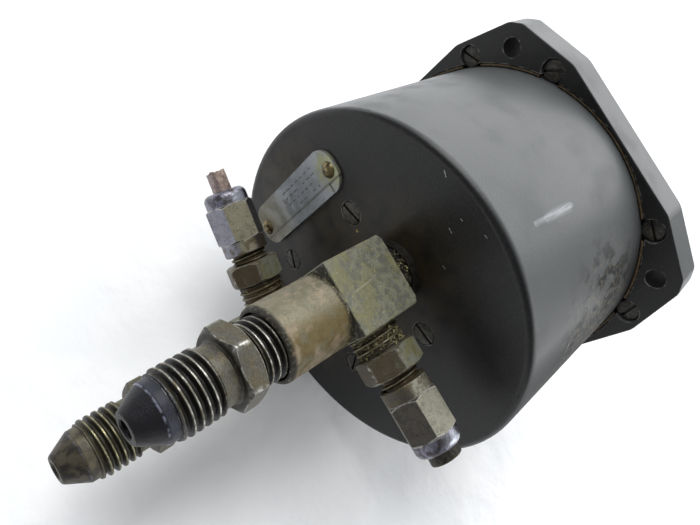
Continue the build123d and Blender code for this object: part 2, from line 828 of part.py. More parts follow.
front_plate_solid = movement_plate(front_plate_front, front_plate_back)
back_plate_solid = movement_plate(back_plate_front, back_plate_back)
screw_hole = small_screw_radius + running_clearance
pillars = []
stand_offs = []
movement_screws = []
for x, z in [on_circle(pillar_circle, angle) for angle in pillar_angles]:
    pillar = disc(pillar_radius, front_plate_back, back_plate_front, x, z)
    screw_end = front_plate_front + small_screw_length + free_gap
    pillars.append(pillar - disc(screw_hole, front_plate_front, screw_end, x, z))
    front_plate_solid -= cut_disc(screw_hole, front_plate_front, front_plate_back, x, z)
    movement_screws.append(front_screw(front_plate_front - small_screw_head, x, z))
for x, z in [on_circle(stand_off_circle, angle) for angle in stand_off_angles]:
    stand_off = disc(stand_off_radius, back_plate_back, socket_front, x, z)
    screw_end = back_plate_front + small_screw_length + free_gap
    stand_offs.append(stand_off - disc(screw_hole, back_plate_front, screw_end, x, z))
    back_plate_solid -= cut_disc(screw_hole, back_plate_front, back_plate_back, x, z)
    movement_screws.append(front_screw(back_plate_front - small_screw_head, x, z))
keep("front_plate", front_plate_solid)
keep("back_plate", back_plate_solid)
keep("plate_pillars", *pillars)
keep("movement_stand_offs", *stand_offs)
keep("movement_screws", *movement_screws)
keep("socket_block", socket_block)


# Gears of the movement
def toothed_wheel(teeth, phase, keep_angles=None):
    """Outline of a spur wheel; a sector keeps only the teeth between two angles."""
    pitch_angle = full_turn / teeth
    pitch_circle = gear_module * teeth / 2
    tip_circle = pitch_circle + tooth_addendum * gear_module
    root_circle = pitch_circle - tooth_dedendum * gear_module
    points = []
    for tooth in range(teeth):
        centre = phase + tooth * pitch_angle
        place = centre % full_turn
        real = keep_angles is None or keep_angles[0] <= place <= keep_angles[1]
        tip = tip_circle if real else root_circle
        for circle, share in (
            (root_circle, -tooth_root_share),
            (tip, -tooth_tip_share),
            (tip, tooth_tip_share),
            (root_circle, tooth_root_share),
        ):
            points.append(on_circle(circle, centre + share * pitch_angle))
    return make_face(Polyline(*points, close=True))


sector_first = mesh_angle - sector_travel - mesh_margin_angle
sector_last = mesh_angle + mesh_margin_angle


def sector_gear():
    """Toothed sector, hub, web and tail with the link pin, for the left side."""
    root_circle = sector_radius - tooth_dedendum * gear_module
    first_tooth = mesh_angle + full_turn / sector_teeth / 2
    wheel = toothed_wheel(sector_teeth, first_tooth, (sector_first, sector_last))
    edges = [on_circle(2 * sector_radius, angle) for angle in (sector_first, sector_last)]
    wedge = make_face(Polyline((0, 0), *edges, close=True))
    rim = (wheel - Circle(root_circle - sector_rim_width)) & wedge
    spoke_length = root_circle - sector_rim_width / 2
    spoke = Pos(spoke_length / 2, 0) * Rectangle(spoke_length, sector_rim_width)
    outline = rim + Rot(0, 0, (sector_first + sector_last) / 2) * spoke + Circle(sector_hub_radius)
    tail = on_circle(sector_tail / 2, tail_angle)
    outline += Pos(*tail) * Rot(0, 0, tail_angle) * Rectangle(sector_tail, sector_tail_width)
    tail_end = on_circle(sector_tail, tail_angle)
    outline += Pos(*tail_end) * Circle(link_eye_radius)
    sector_back = sector_front + sector_thickness
    body = slab(outline, sector_front, sector_back)
    body += disc(link_pin_radius, sector_front, link_back + link_pin_overhang, *tail_end)
    body -= cut_disc(arbor_radius + seat_clearance, sector_front, sector_back)
    return Pos(-staff_x, 0, sector_z) * body


def stepped_shaft(radius, front_end):
    shoulder_front = front_plate_back + free_gap
    shoulder_back = back_plate_front - free_gap
    shaft = disc(radius, shoulder_front, shoulder_back)
    return shaft + disc(pivot_radius, front_end, back_plate_back - pivot_end)


def staff():
    """Pinion staff that carries the hairspring collet and the pointer."""
    body = stepped_shaft(staff_radius, staff_front)
    pinion_front = sector_front + sector_thickness / 2 - pinion_face / 2
    body += slab(toothed_wheel(pinion_teeth, 90), pinion_front, pinion_front + pinion_face)
    body += disc(collet_radius, spring_front, spring_front + spring_height)
    return Pos(-staff_x, 0, staff_z) * body


def spiral_point(turns, offset):
    radius = spring_inner_radius + spring_strip / 2 + spring_pitch * turns + offset
    return on_circle(radius, full_turn * turns)


def hairspring():
    turns = [step / spring_step_count for step in range(spring_turn_count * spring_step_count + 1)]
    inner = [spiral_point(turn, -spring_strip / 2) for turn in turns]
    outer = [spiral_point(turn, spring_strip / 2) for turn in turns]
    strip = make_face(Polyline(*inner, *reversed(outer), close=True))
    return Pos(-staff_x, 0, staff_z) * slab(strip, spring_front, spring_front + spring_height)


def link():
    """Flat link from the sector's tail pin to the Bourdon tip's pin."""
    hole = link_pin_radius + running_clearance
    reach = on_circle(sector_tail, tail_angle)
    tail_x = reach[0] - staff_x
    tail_z = reach[1] + sector_z
    length = math.hypot(tip_pin_x - tail_x, tip_pin_z - tail_z)
    lie = math.degrees(math.atan2(tip_pin_z - tail_z, tip_pin_x - tail_x))
    middle = ((tip_pin_x + tail_x) / 2, (tip_pin_z + tail_z) / 2)
    outline = Pos(*middle) * Rot(0, 0, lie) * Rectangle(length, link_width)
    for place in ((tail_x, tail_z), (tip_pin_x, tip_pin_z)):
        outline += Pos(*place) * Circle(link_eye_radius)
    for place in ((tail_x, tail_z), (tip_pin_x, tip_pin_z)):
        outline -= Pos(*place) * Circle(hole)
    return slab(outline, link_front, link_back)


spring_end = spiral_point(spring_turn_count, spring_strip / 2 + spring_stud_radius + seat_clearance)


def spring_stud():
    """Stud in the back plate that holds the hairspring's outer end."""
    x, z = spring_end
    return disc(spring_stud_radius, spring_front, back_plate_front, x - staff_x, z + staff_z)


def pointer():
    """Flat pointer with a tapering blade, a counterweight tail and a boss."""
    half_root = pointer_root_width / 2
    half_tip = pointer_tip_width / 2
    blade = make_face(
        Polyline(
            (0, -half_root),
            (pointer_length - pointer_point, -half_tip),
            (pointer_length, 0),
            (pointer_length - pointer_point, half_tip),
            (0, half_root),
            (-pointer_tail, pointer_tail_width / 2),
            (-pointer_tail, -pointer_tail_width / 2),
            close=True,
        )
    )
    outline = Rot(0, 0, pointer_rest_angle) * (blade + Circle(pointer_hub_radius))
    body = slab(outline, pointer_front, pointer_front + pointer_thickness)
    body += disc(pointer_boss_radius, pointer_front, pointer_front + pointer_boss)
    body -= cut_disc(pivot_radius + seat_clearance, pointer_front, pointer_front + pointer_boss)
    return Pos(-staff_x, 0, staff_z) * body


def sector_arbor():
    return Pos(-staff_x, 0, sector_z) * stepped_shaft(arbor_radius, front_plate_front + pivot_end)


for name, solid in (
    ("sector", sector_gear()),
    ("sector_arbor", sector_arbor()),
    ("staff", staff()),
    ("hairspring", hairspring()),
    ("link", link()),
    ("pointer", pointer()),
):
    keep(name + "_left", solid)
    keep(name + "_right", mirrored(solid))
keep("spring_studs", spring_stud(), mirrored(spring_stud()))

# Dial plate, its feet and screws, and the raised scale marks
dial = disc(dial_radius, dial_front, dial_back)
for side in (-1, 1):
    dial -= cut_disc(dial_hole_radius, dial_front, dial_back, side * staff_x, staff_z)
feet = []
dial_screws = []
for x, z in [on_circle(dial_foot_circle, angle) for angle in dial_foot_angles]:
    bore_end = dial_front + small_screw_length - small_screw_head
    foot = disc(dial_foot_radius, dial_back, front_plate_front, x, z)
    feet.append(foot - disc(screw_hole, dial_back - cut_past, bore_end + free_gap, x, z))
    dial -= cut_disc(screw_hole, dial_front, dial_back, x, z)
    head = disc(small_screw_head_radius, dial_front - small_screw_head / 2, dial_front, x, z)
    groove = Pos(x, z) * Rectangle(3 * small_screw_head_radius, small_slot_width)
    head -= slab(groove, dial_front - small_screw_head, dial_front - small_slot_depth / 2)
    dial_screws.append(head + disc(small_screw_radius, dial_front, bore_end, x, z))
keep("dial", dial)
keep("dial_feet", *feet)
keep("dial_screws", *dial_screws)


def scale_marks():
    """Long and short bars along the travel of the left pointer, joined by a band."""
    step_count = (long_mark_count - 1) * (short_mark_count + 1)
    reach = 2 * mark_outer_radius
    rest = pointer_rest_angle
    corners = [on_circle(reach, rest - share * pointer_travel) for share in (0, 0.5, 1)]
    band = Circle(mark_outer_radius) - Circle(mark_outer_radius - mark_band)
    bars = band & make_face(Polyline((0, 0), *corners, close=True))
    for mark in range(step_count + 1):
        is_long = mark % (short_mark_count + 1) == 0
        length = mark_long if is_long else mark_short
        width = mark_wide if is_long else mark_thin
        bar = Pos(mark_outer_radius - length / 2, 0) * Rectangle(length, width)
        bars += Rot(0, 0, rest - pointer_travel * mark / step_count) * bar
    return Pos(-staff_x, 0, staff_z) * slab(bars, dial_front - mark_thickness, dial_front)


keep("scale_marks", scale_marks(), mirrored(scale_marks()))

for name, shape in parts.items():
    export_step(shape, f"parts/{name}.step")
print(len(parts), "nodes written")
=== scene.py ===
# %% [markdown]
# A torquemeter indicator, dressed in Blender
#
# The object is an aircraft panel instrument seen from behind: a black case cup in a lobed
# flange, with two tee fittings, two flared nipples and two side branches. The frame from the
# CAD step already has every solid at its real size. This lesson gives those solids their
# finish, and makes again the few pieces whose charm is finer than a plain solid: the real
# threads, the slotted screws, the sealing compound, the snapped tube and the dial's figures.

# %% Load the frame
import math

import bmesh
import bpy
from mathutils import Matrix, Vector, noise


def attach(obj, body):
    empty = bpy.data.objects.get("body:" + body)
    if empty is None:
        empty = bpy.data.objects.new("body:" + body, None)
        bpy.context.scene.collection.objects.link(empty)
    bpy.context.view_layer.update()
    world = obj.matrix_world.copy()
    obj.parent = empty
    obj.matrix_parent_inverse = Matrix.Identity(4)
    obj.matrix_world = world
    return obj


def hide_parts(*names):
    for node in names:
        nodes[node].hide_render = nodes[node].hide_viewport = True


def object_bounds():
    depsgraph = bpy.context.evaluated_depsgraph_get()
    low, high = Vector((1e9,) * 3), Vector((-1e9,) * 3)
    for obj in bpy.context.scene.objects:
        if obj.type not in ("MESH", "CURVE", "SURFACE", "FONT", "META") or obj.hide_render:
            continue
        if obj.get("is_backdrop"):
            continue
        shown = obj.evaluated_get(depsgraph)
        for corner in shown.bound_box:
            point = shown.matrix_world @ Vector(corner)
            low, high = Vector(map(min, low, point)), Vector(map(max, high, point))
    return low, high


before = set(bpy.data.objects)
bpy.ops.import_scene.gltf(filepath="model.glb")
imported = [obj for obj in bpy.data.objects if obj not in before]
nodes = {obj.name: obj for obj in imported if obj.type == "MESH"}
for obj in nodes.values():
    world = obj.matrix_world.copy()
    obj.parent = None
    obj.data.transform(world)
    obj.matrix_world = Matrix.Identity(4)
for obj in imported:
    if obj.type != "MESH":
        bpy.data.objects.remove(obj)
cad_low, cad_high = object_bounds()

MM = 0.001
to_metres = Matrix.Scale(MM, 4)
print(len(nodes), "CAD nodes, box", [round(v / MM, 1) for v in cad_high - cad_low], "mm")

# %% [markdown]
# The camera comes first, because every later choice is judged through it. The photographer
# held it close and turned it on its side, so a position and an aim are not enough: the
# picture is also rolled about the line of sight. A wide lens gives the strong perspective.

# %% Camera
camera_place = Vector((1.175, 130.16, 98.148)) * MM
camera_aim = Vector((8.24, 34.955, -17.547)) * MM
camera_roll = 56.05
camera_lens = 29.815

camera_data = bpy.data.cameras.new("camera")
camera_data.lens = camera_lens
camera_data.sensor_width = 36
camera_data.clip_start = 0.005
camera = bpy.data.objects.new("camera", camera_data)
bpy.context.collection.objects.link(camera)
aimed = (camera_aim - camera_place).to_track_quat("-Z", "Y").to_matrix().to_4x4()
rolled = Matrix.Rotation(math.radians(camera_roll), 4, "Z")
camera.matrix_world = Matrix.Translation(camera_place) @ aimed @ rolled
bpy.context.scene.camera = camera
print("camera", [round(v / MM) for v in camera_place], "mm, rolled", camera_roll, "degrees")

# %% [markdown]
# Materials are node trees, and so are the geometry tools further on. Both are easier to read
# when adding a node and joining its sockets is one short call, so this class holds a tree and
# does just that. A socket may be given a number, another node's output or a colour. Three
# numbers are a colour as a picture shows it, and four are a colour in linear light.

# %% Short calls for node trees


class Wires:
    """A node tree with short calls for adding nodes and joining their sockets."""

    def __init__(self, tree):
        self.tree = tree

    def feed(self, socket, value):
        if isinstance(value, bpy.types.NodeSocket):
            self.tree.links.new(value, socket)
        elif socket.type == "RGBA" and len(value) == 3:
            socket.default_value = linear(*value)
        else:
            socket.default_value = value

    def add(self, kind, inputs=None, **settings):
        node = self.tree.nodes.new(kind)
        for key, value in settings.items():
            setattr(node, key, value)
        for key, value in (inputs or {}).items():
            self.feed(node.inputs[key], value)
        return node

    def get(self, kind, inputs=None, **settings):
        """Adds a node and gives its first output."""
        return self.add(kind, inputs, **settings).outputs[0]

    def sum(self, operation, first, second=0.0, third=0.0):
        """One arithmetic step, such as ADD, MULTIPLY or MAXIMUM."""
        return self.get("ShaderNodeMath", {0: first, 1: second, 2: third}, operation=operation)

    def vector(self, operation, first, second, output=0):
        """One step of vector arithmetic, such as SUBTRACT or DISTANCE."""
        inputs = {0: first, ("Scale" if operation == "SCALE" else 1): second}
        return self.add("ShaderNodeVectorMath", inputs, operation=operation).outputs[output]

    def ramp(self, value, low, high, bottom=0.0, top=1.0):
        """Goes smoothly from bottom to top while value goes from low to high."""
        inputs = {"Value": value, 1: low, 2: high, 3: bottom, 4: top}
        return self.get("ShaderNodeMapRange", inputs, interpolation_type="SMOOTHSTEP")

    def level(self, mask, none, full):
        """A value that is none where the mask is 0 and full where it is 1."""
        return self.ramp(mask, 0.0, 1.0, none, full)


def linear(*picture_colour):
    """A picture's red, green and blue, each 0 to 255, as the linear colour that nodes use."""
    values = [v / 255 for v in picture_colour]
    return tuple(v / 12.92 if v < 0.04 else ((v + 0.055) / 1.055) ** 2.4 for v in values) + (1.0,)


print("mid grey 128 is", round(linear(128, 128, 128)[0], 3), "in linear light")

# %% [markdown]
# A finish is more than a colour. On this old instrument each surface has blotches, dust in
# its corners, rubbed edges and fine scratches. This class starts a Principled material that
# measures everything in millimetres on Object coordinates, so a pattern stays in place when a
# nut turns. The Bevel node finds edges, Ambient Occlusion finds corners, which are darkened
# as grime and painted shade, and a few lines of vector arithmetic give the distance to one
# scratch. The class keeps the colour so far, and each call of lay puts one more tone over it
# through a mask. A shift given at the start moves all of its patterns, so two pieces of one
# finish do not look the same.

# %% Finishes
edge_samples = 6


class Finish(Wires):
    """A Principled material on Object coordinates, measured in millimetres."""

    def __init__(self, name, shift=0.0, roughness=0.5, metallic=0.0, **sockets):
        self.material = bpy.data.materials.new(name)
        self.material.use_nodes = True
        super().__init__(self.material.node_tree)
        self.shader = self.tree.nodes["Principled BSDF"]
        self.feed(self.shader.inputs["Roughness"], roughness)
        self.feed(self.shader.inputs["Metallic"], metallic)
        for key, value in sockets.items():
            self.feed(self.shader.inputs[key.replace("_", " ")], value)
        self.own = self.add("ShaderNodeTexCoord")
        place = {"Vector": self.own.outputs["Object"], "Scale": (1 / MM, 1 / MM, 1 / MM)}
        self.place = self.get("ShaderNodeMapping", place)
        self.shift = shift
        self.colour = self.height = None

    def stretched(self, size, stretch, shift):
        """The place in a pattern of this size, moved so that no two patterns match."""
        scale = [1 / (size * along) for along in stretch]
        moved = self.shift + shift
        inputs = {"Vector": self.place, "Scale": scale, "Location": (moved, 2 * moved, -moved)}
        return self.get("ShaderNodeMapping", inputs)

    def clouds(self, size, low=0.4, high=0.6, detail=4.0, shift=0.0, stretch=(1, 1, 1)):
        """Soft random patches about size millimetres across, 0 to 1."""
        inputs = {"Vector": self.stretched(size, stretch, shift), "Scale": 1.0, "Detail": detail}
        made = self.add("ShaderNodeTexNoise", inputs)
        return self.ramp(made.outputs[0], low, high)

    def specks(self, spacing, radius, shift=0.0):
        """Small round dots, 1 inside and 0 outside."""
        inputs = {"Vector": self.stretched(spacing, (1, 1, 1), shift), "Scale": 1.0}
        made = self.add("ShaderNodeTexVoronoi", inputs)
        return self.ramp(made.outputs["Distance"], radius, radius * 0.4)

    def edges(self, width, low=0.02, high=0.2):
        """Where the surface bends sharply within width millimetres."""
        soft = self.add("ShaderNodeBevel", {"Radius": width * MM}, samples=edge_samples)
        hard = self.add("ShaderNodeNewGeometry")
        alike = self.vector("DOT_PRODUCT", soft.outputs[0], hard.outputs["Normal"], "Value")
        return self.ramp(self.inverse(alike), low, high)

    def corners(self, reach, low=0.25, high=0.75):
        """Where other surfaces crowd in within reach millimetres."""
        made = self.add("ShaderNodeAmbientOcclusion", {"Distance": reach * MM}, samples=edge_samples)
        return self.ramp(self.inverse(made.outputs["AO"]), low, high)

    def axis(self, name):
        """The X, Y or Z coordinate in millimetres."""
        return self.add("ShaderNodeSeparateXYZ", {0: self.place}).outputs[name]

    def turned_to(self, direction, low=0.2, high=0.8):
        """How much the surface faces a direction, which moves with the piece."""
        facing = Vector(direction).normalized()
        return self.ramp(self.vector("DOT_PRODUCT", self.own.outputs["Normal"], facing, "Value"), low, high)

    def near(self, point, inner, outer):
        """1 within inner millimetres of a point, 0 past outer."""
        return self.ramp(self.vector("DISTANCE", self.place, point, "Value"), outer, inner)

    def scratch(self, start, end, width):
        """1 on the straight line from start to end, 0 past its width."""
        start, line = Vector(start), Vector(end) - Vector(start)
        away = self.vector("SUBTRACT", self.place, start)
        along = self.vector("DOT_PRODUCT", away, line / line.length_squared, "Value")
        held = self.get("ShaderNodeClamp", {"Value": along})
        apart = self.vector("DISTANCE", away, self.vector("SCALE", line, held), "Value")
        return self.ramp(apart, width, width * 0.3)

    def stored(self, name):
        """A number stored on the mesh."""
        return self.add("ShaderNodeAttribute", attribute_name=name).outputs["Fac"]

    def mix(self, share, below, above):
        """Colour above laid over colour below by share."""
        inputs = {0: share, 6: below, 7: above}
        return self.add("ShaderNodeMix", inputs, data_type="RGBA").outputs[2]

    def lay(self, tone, mask, share=None):
        """Lays a picture colour, or a node's output, over the colour so far through a mask."""
        if share is not None:
            mask = self.both(mask, share)
        self.colour = self.mix(mask, self.colour, tone)

    def both(self, first, second):
        return self.sum("MULTIPLY", first, second)

    def patchy(self, mask, *cloud, **more):
        """A mask broken up by clouds."""
        return self.both(mask, self.clouds(*cloud, **more))

    def inverse(self, mask):
        return self.sum("SUBTRACT", 1.0, mask)

    def either(self, first, second):
        return self.sum("MAXIMUM", first, second)

    def raise_by(self, height, millimetres):
        """Adds a bump of up to that height."""
        inputs = {"Height": height, "Distance": millimetres * MM, "Strength": 1.0}
        if self.height is not None:
            inputs["Normal"] = self.height
        self.height = self.get("ShaderNodeBump", inputs)

    def done(self, colour=None, roughness=None, metallic=None):
        """Joins the colour so far, or the one given, to the shader, and gives the material back."""
        colour = self.colour if colour is None else colour
        given = {"Base Color": colour, "Roughness": roughness, "Metallic": metallic, "Normal": self.height}
        for key, value in given.items():
            if value is not None:
                self.feed(self.shader.inputs[key], value)
        return self.material


def dress(names, material):
    """Gives CAD nodes a new material in place of the plain one they came with."""
    for name in names.split():
        nodes[name].data.materials.clear()
        nodes[name].data.materials.append(material)


print("finish tools ready, edges and corners found with", edge_samples, "samples each")

# %% [markdown]
# A plain pale floor and soft studio light. The photo is blown out to white behind the object,
# so the floor and the world show white to the camera through Light Path, while the lamps stay
# at a level that leaves the black paint black. The barrel's flank mirrors what is in front of
# the dial, low on the right, so a broad lamp there gives its long grey sheen.

# %% Floor and lights
floor_half = 0.9
floor_z = cad_low.z - 0.0004
world_strength = 0.3
seen_white = 1.0


def plain_mesh(name, points, faces, lines=()):
    """A new object at the origin, with its place in its mesh."""
    mesh = bpy.data.meshes.new(name)
    mesh.from_pydata(points, lines, faces)
    mesh.update()
    made = bpy.data.objects.new(name, mesh)
    bpy.context.collection.objects.link(made)
    return made


square = [(-1, -1), (1, -1), (1, 1), (-1, 1)]
floor_points = [(x * floor_half, y * floor_half, floor_z) for x, y in square]
floor = plain_mesh("floor", floor_points, [(0, 1, 2, 3)])
floor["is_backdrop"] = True
cloth = Finish("floor_white", roughness=0.9, Specular_IOR_Level=0.1)
folds = cloth.clouds(26, 0.35, 0.7, detail=5.0)
cloth.raise_by(folds, 0.6)
seen = cloth.add("ShaderNodeLightPath").outputs
seen = cloth.either(cloth.either(seen["Is Camera Ray"], seen["Is Glossy Ray"]), seen["Is Transmission Ray"])
cloth.feed(cloth.shader.inputs["Emission Color"], (1, 1, 1, 1))
far_away = cloth.ramp(cloth.near((0, 0, 0), 140, 520), 1.0, 0.0, 0.04, 0.75)
cloth.feed(cloth.shader.inputs["Emission Strength"], cloth.both(seen, far_away))
floor.data.materials.append(cloth.done(cloth.mix(folds, (240, 242, 244), (247, 248, 249))))


def area_light(name, place, size, power):
    """A square lamp at a place in metres, facing the middle of the case."""
    data = bpy.data.lights.new(name, "AREA")
    data.shape = "SQUARE"
    data.size = size
    data.energy = power
    lamp = bpy.data.objects.new(name, data)
    bpy.context.collection.objects.link(lamp)
    lamp.location = place
    lamp.rotation_euler = (Vector((0, 0.03, 0)) - Vector(place)).to_track_quat("-Z", "Y").to_euler()
    return lamp


lamps = [
    area_light("key", (0.30, 0.10, 0.50), 0.4, 2.7),
    area_light("front_panel", (0.24, -0.82, 0.56), 1.3, 12.6),
    area_light("side_panel", (-0.75, -0.30, 0.45), 0.7, 3.0),
]

world = bpy.data.worlds.new("studio")
bpy.context.scene.world = world
world.use_nodes = True
sky = Wires(world.node_tree)
backdrop = world.node_tree.nodes["Background"]
sky.feed(backdrop.inputs["Color"], (0.94, 0.96, 1.0, 1))
ray = sky.add("ShaderNodeLightPath").outputs
camera_or_gloss = sky.sum("MAXIMUM", ray["Is Camera Ray"], ray["Is Transmission Ray"])
sky.feed(backdrop.inputs["Strength"], sky.level(camera_or_gloss, world_strength, seen_white))
bpy.context.scene.view_settings.view_transform = "Standard"
print(len(lamps), "lamps over a floor at", round(floor_z / MM, 1), "mm")

# %% [markdown]
# The case and flange are black paint over alloy. It is satin, not glossy, and decades of
# handling have left dust in soft patches, hair scratches, a few bright nicks on the rear rim,
# one white scrape across the flank and brown oil round the fittings. Layered masks do this
# well, because each one has its own cause: where fingers rub, where oil creeps, where a tool
# slipped. Some masks paint light instead: a grey painted sheen on the sides, painted shade on
# the lower flank and in the bolt holes, and painted shade with the grime in corners.

# %% Black paint
port_x, upper_port_z, lower_port_z = 0.9, 11.6, -18.4
barrel_radius, barrel_length = 39.62, 50.5


def about_y(radius, y, turn):
    """A point at a radius from the Y axis, turned in radians from +X towards +Z."""
    return (radius * math.cos(turn), y, radius * math.sin(turn))


def on_flank(degrees, y):
    """A point on the barrel's side."""
    return about_y(barrel_radius, y, math.radians(degrees))


def black_paint(name, shift, oily):
    """Satin black with dust, hair scratches, rubbed edges and oil stains, a painted sheen on the sides and
    painted shade.
    """
    made = Finish(name, shift, roughness=0.4, Specular_IOR_Level=0.32)
    dust = made.clouds(9, 0.42, 0.75, detail=6.0)
    fine = made.clouds(0.5, 0.45, 0.8, detail=2.0)
    hairs = made.clouds(1.1, 0.68, 0.72, detail=1.0, stretch=(0.12, 3.5, 1.6))
    rubbed = made.patchy(made.edges(0.5), 1.6, 0.45, 0.62, shift=3)
    # Corners are darkened brown: grime and painted shade.
    grime_and_shade = made.patchy(made.corners(5.0, 0.2, 0.8), 3.0, 0.3, 0.6)
    made.colour = made.mix(made.both(dust, 0.55), (14, 14, 15), (24, 24, 24))
    # Painted sheen: faces that look sideways, away from Y, take a patchy grey film, partly dust and partly
    # painted sheen.
    across = made.add("ShaderNodeSeparateXYZ", {0: made.own.outputs["Normal"]}).outputs["Y"]
    sideways = made.ramp(made.sum("ABSOLUTE", across), 0.75, 0.15)
    film = made.patchy(sideways, 16, 0.1, 0.36, shift=8)
    made.lay((92, 95, 96), film, 0.85)
    made.lay((58, 58, 58), fine, 0.2)
    made.lay((96, 97, 98), hairs, 0.12)
    made.lay((30, 26, 19), grime_and_shade, 0.7)
    if oily:
        creep = made.clouds(4.5, 0.3, 0.62, detail=6.0, shift=5)
        for z in (upper_port_z, lower_port_z):
            stain = made.near((port_x, barrel_length, z), 7.0, 24.0)
            made.lay((60, 50, 32), made.both(stain, creep), 0.55)
        plate_stain = made.near((26.0, barrel_length, -4.0), 4.0, 21.0)
        made.lay((74, 64, 45), made.both(plate_stain, creep), 0.5)
        # Painted shade: the lower flank, facing -X, is laid darker grey and made rougher.
        low_flank_shade = made.turned_to((-0.94, 0, 0.34), 0.76, 0.97)
        made.lay((44, 45, 44), low_flank_shade, 0.75)
        worn_patch = made.near(on_flank(140, 20), 6.0, 24.0)
        bare_metal = made.clouds(3.0, 0.49, 0.57, detail=5.0, shift=31, stretch=(1, 1.6, 1))
        rubbed_off = made.both(worn_patch, bare_metal)
        made.lay((16, 17, 20), rubbed_off)
        crust = made.patchy(worn_patch, 1.0, 0.5, 0.64, detail=5.0, shift=23)
        made.lay((112, 106, 86), crust, 0.7)
        crumb = made.near((11.7, barrel_length, 8.55), 0.2, 0.42)
        made.lay((150, 128, 58), crumb, 0.9)
        for start, end, width, strength in flank_scrapes:
            streaks = made.clouds(0.9, 0.3, 0.62, stretch=(0.3, 5, 0.3))
            scrape = made.both(made.scratch(start, end, width), made.level(streaks, 0.35, 1.0))
            made.lay((190, 195, 200), scrape, strength)
    made.lay((150, 148, 142), rubbed, 0.8)
    # Painted shade: the walls of the bolt holes are laid near black and made fully rough.
    bolt_hole_shade = made.near((0, -4, 0), 0.0, 0.1)
    for x, z in [(x, z) for x in (-bolt_place, bolt_place) for z in (-bolt_place, bolt_place)]:
        bolt_hole_shade = made.either(bolt_hole_shade, made.near((x, -4.3, z), 4.6, 4.9))
    bolt_hole_shade = made.both(bolt_hole_shade, sideways)
    made.lay((14, 12, 10), bolt_hole_shade)
    made.raise_by(made.clouds(0.35, 0.3, 0.7, detail=2.0), 0.01)
    gloss = made.level(dust, 0.38, 0.5)
    gloss = made.either(gloss, made.level(grime_and_shade, 0.3, 0.7))
    if oily:
        gloss = made.either(gloss, made.both(low_flank_shade, 0.72))
    return made.done(roughness=made.either(gloss, bolt_hole_shade))


bolt_place = 31.431
flank_scrapes = [
    (on_flank(97.0, 41.0), on_flank(98.2, 27.4), 0.75, 0.3),
    (on_flank(97.4, 37.0), on_flank(98.2, 28.5), 1.3, 0.25),
    (on_flank(141, 34), on_flank(138, 33), 0.25, 0.5),
    ((11.2, barrel_length, 35.8), (10.1, barrel_length, 35.4), 0.14, 0.7),
    ((2.3, barrel_length, 30.1), (1.3, barrel_length, 30.0), 0.12, 0.5),
    ((2.6, barrel_length, 33.4), (2.1, barrel_length, 33.5), 0.12, 0.5),
    ((-1.9, barrel_length, 36.0), (-2.5, barrel_length, 36.1), 0.13, 0.6),
    ((-3.1, barrel_length, 24.1), (-3.8, barrel_length, 24.2), 0.1, 0.5),
]
dress("case", black_paint("case_paint", 0.0, True))
dress("flange", black_paint("flange_paint", 17.0, False))
print("case and flange painted,", len(flank_scrapes), "scrapes placed")

# %% [markdown]
# The two tees were cut from bronze bar. Years of oil have turned the square body a mottled
# olive grey with yellow green patches, while the turned barrel is rubbed to warm tan, with one
# side laid a darker gold as painted shade. Both end in black: grime round the mouth, painted
# shade in the step between square and barrel and on the square's face towards the mouth, and
# grime with painted shade in the corners. One material with masks along Y serves both tees,
# because the change of colour follows the length of the fitting.

# %% Bronze tees
tee_shoulder, tee_side = 70.3, 14.8
mouth_upper, mouth_lower = 84.1, 88.6


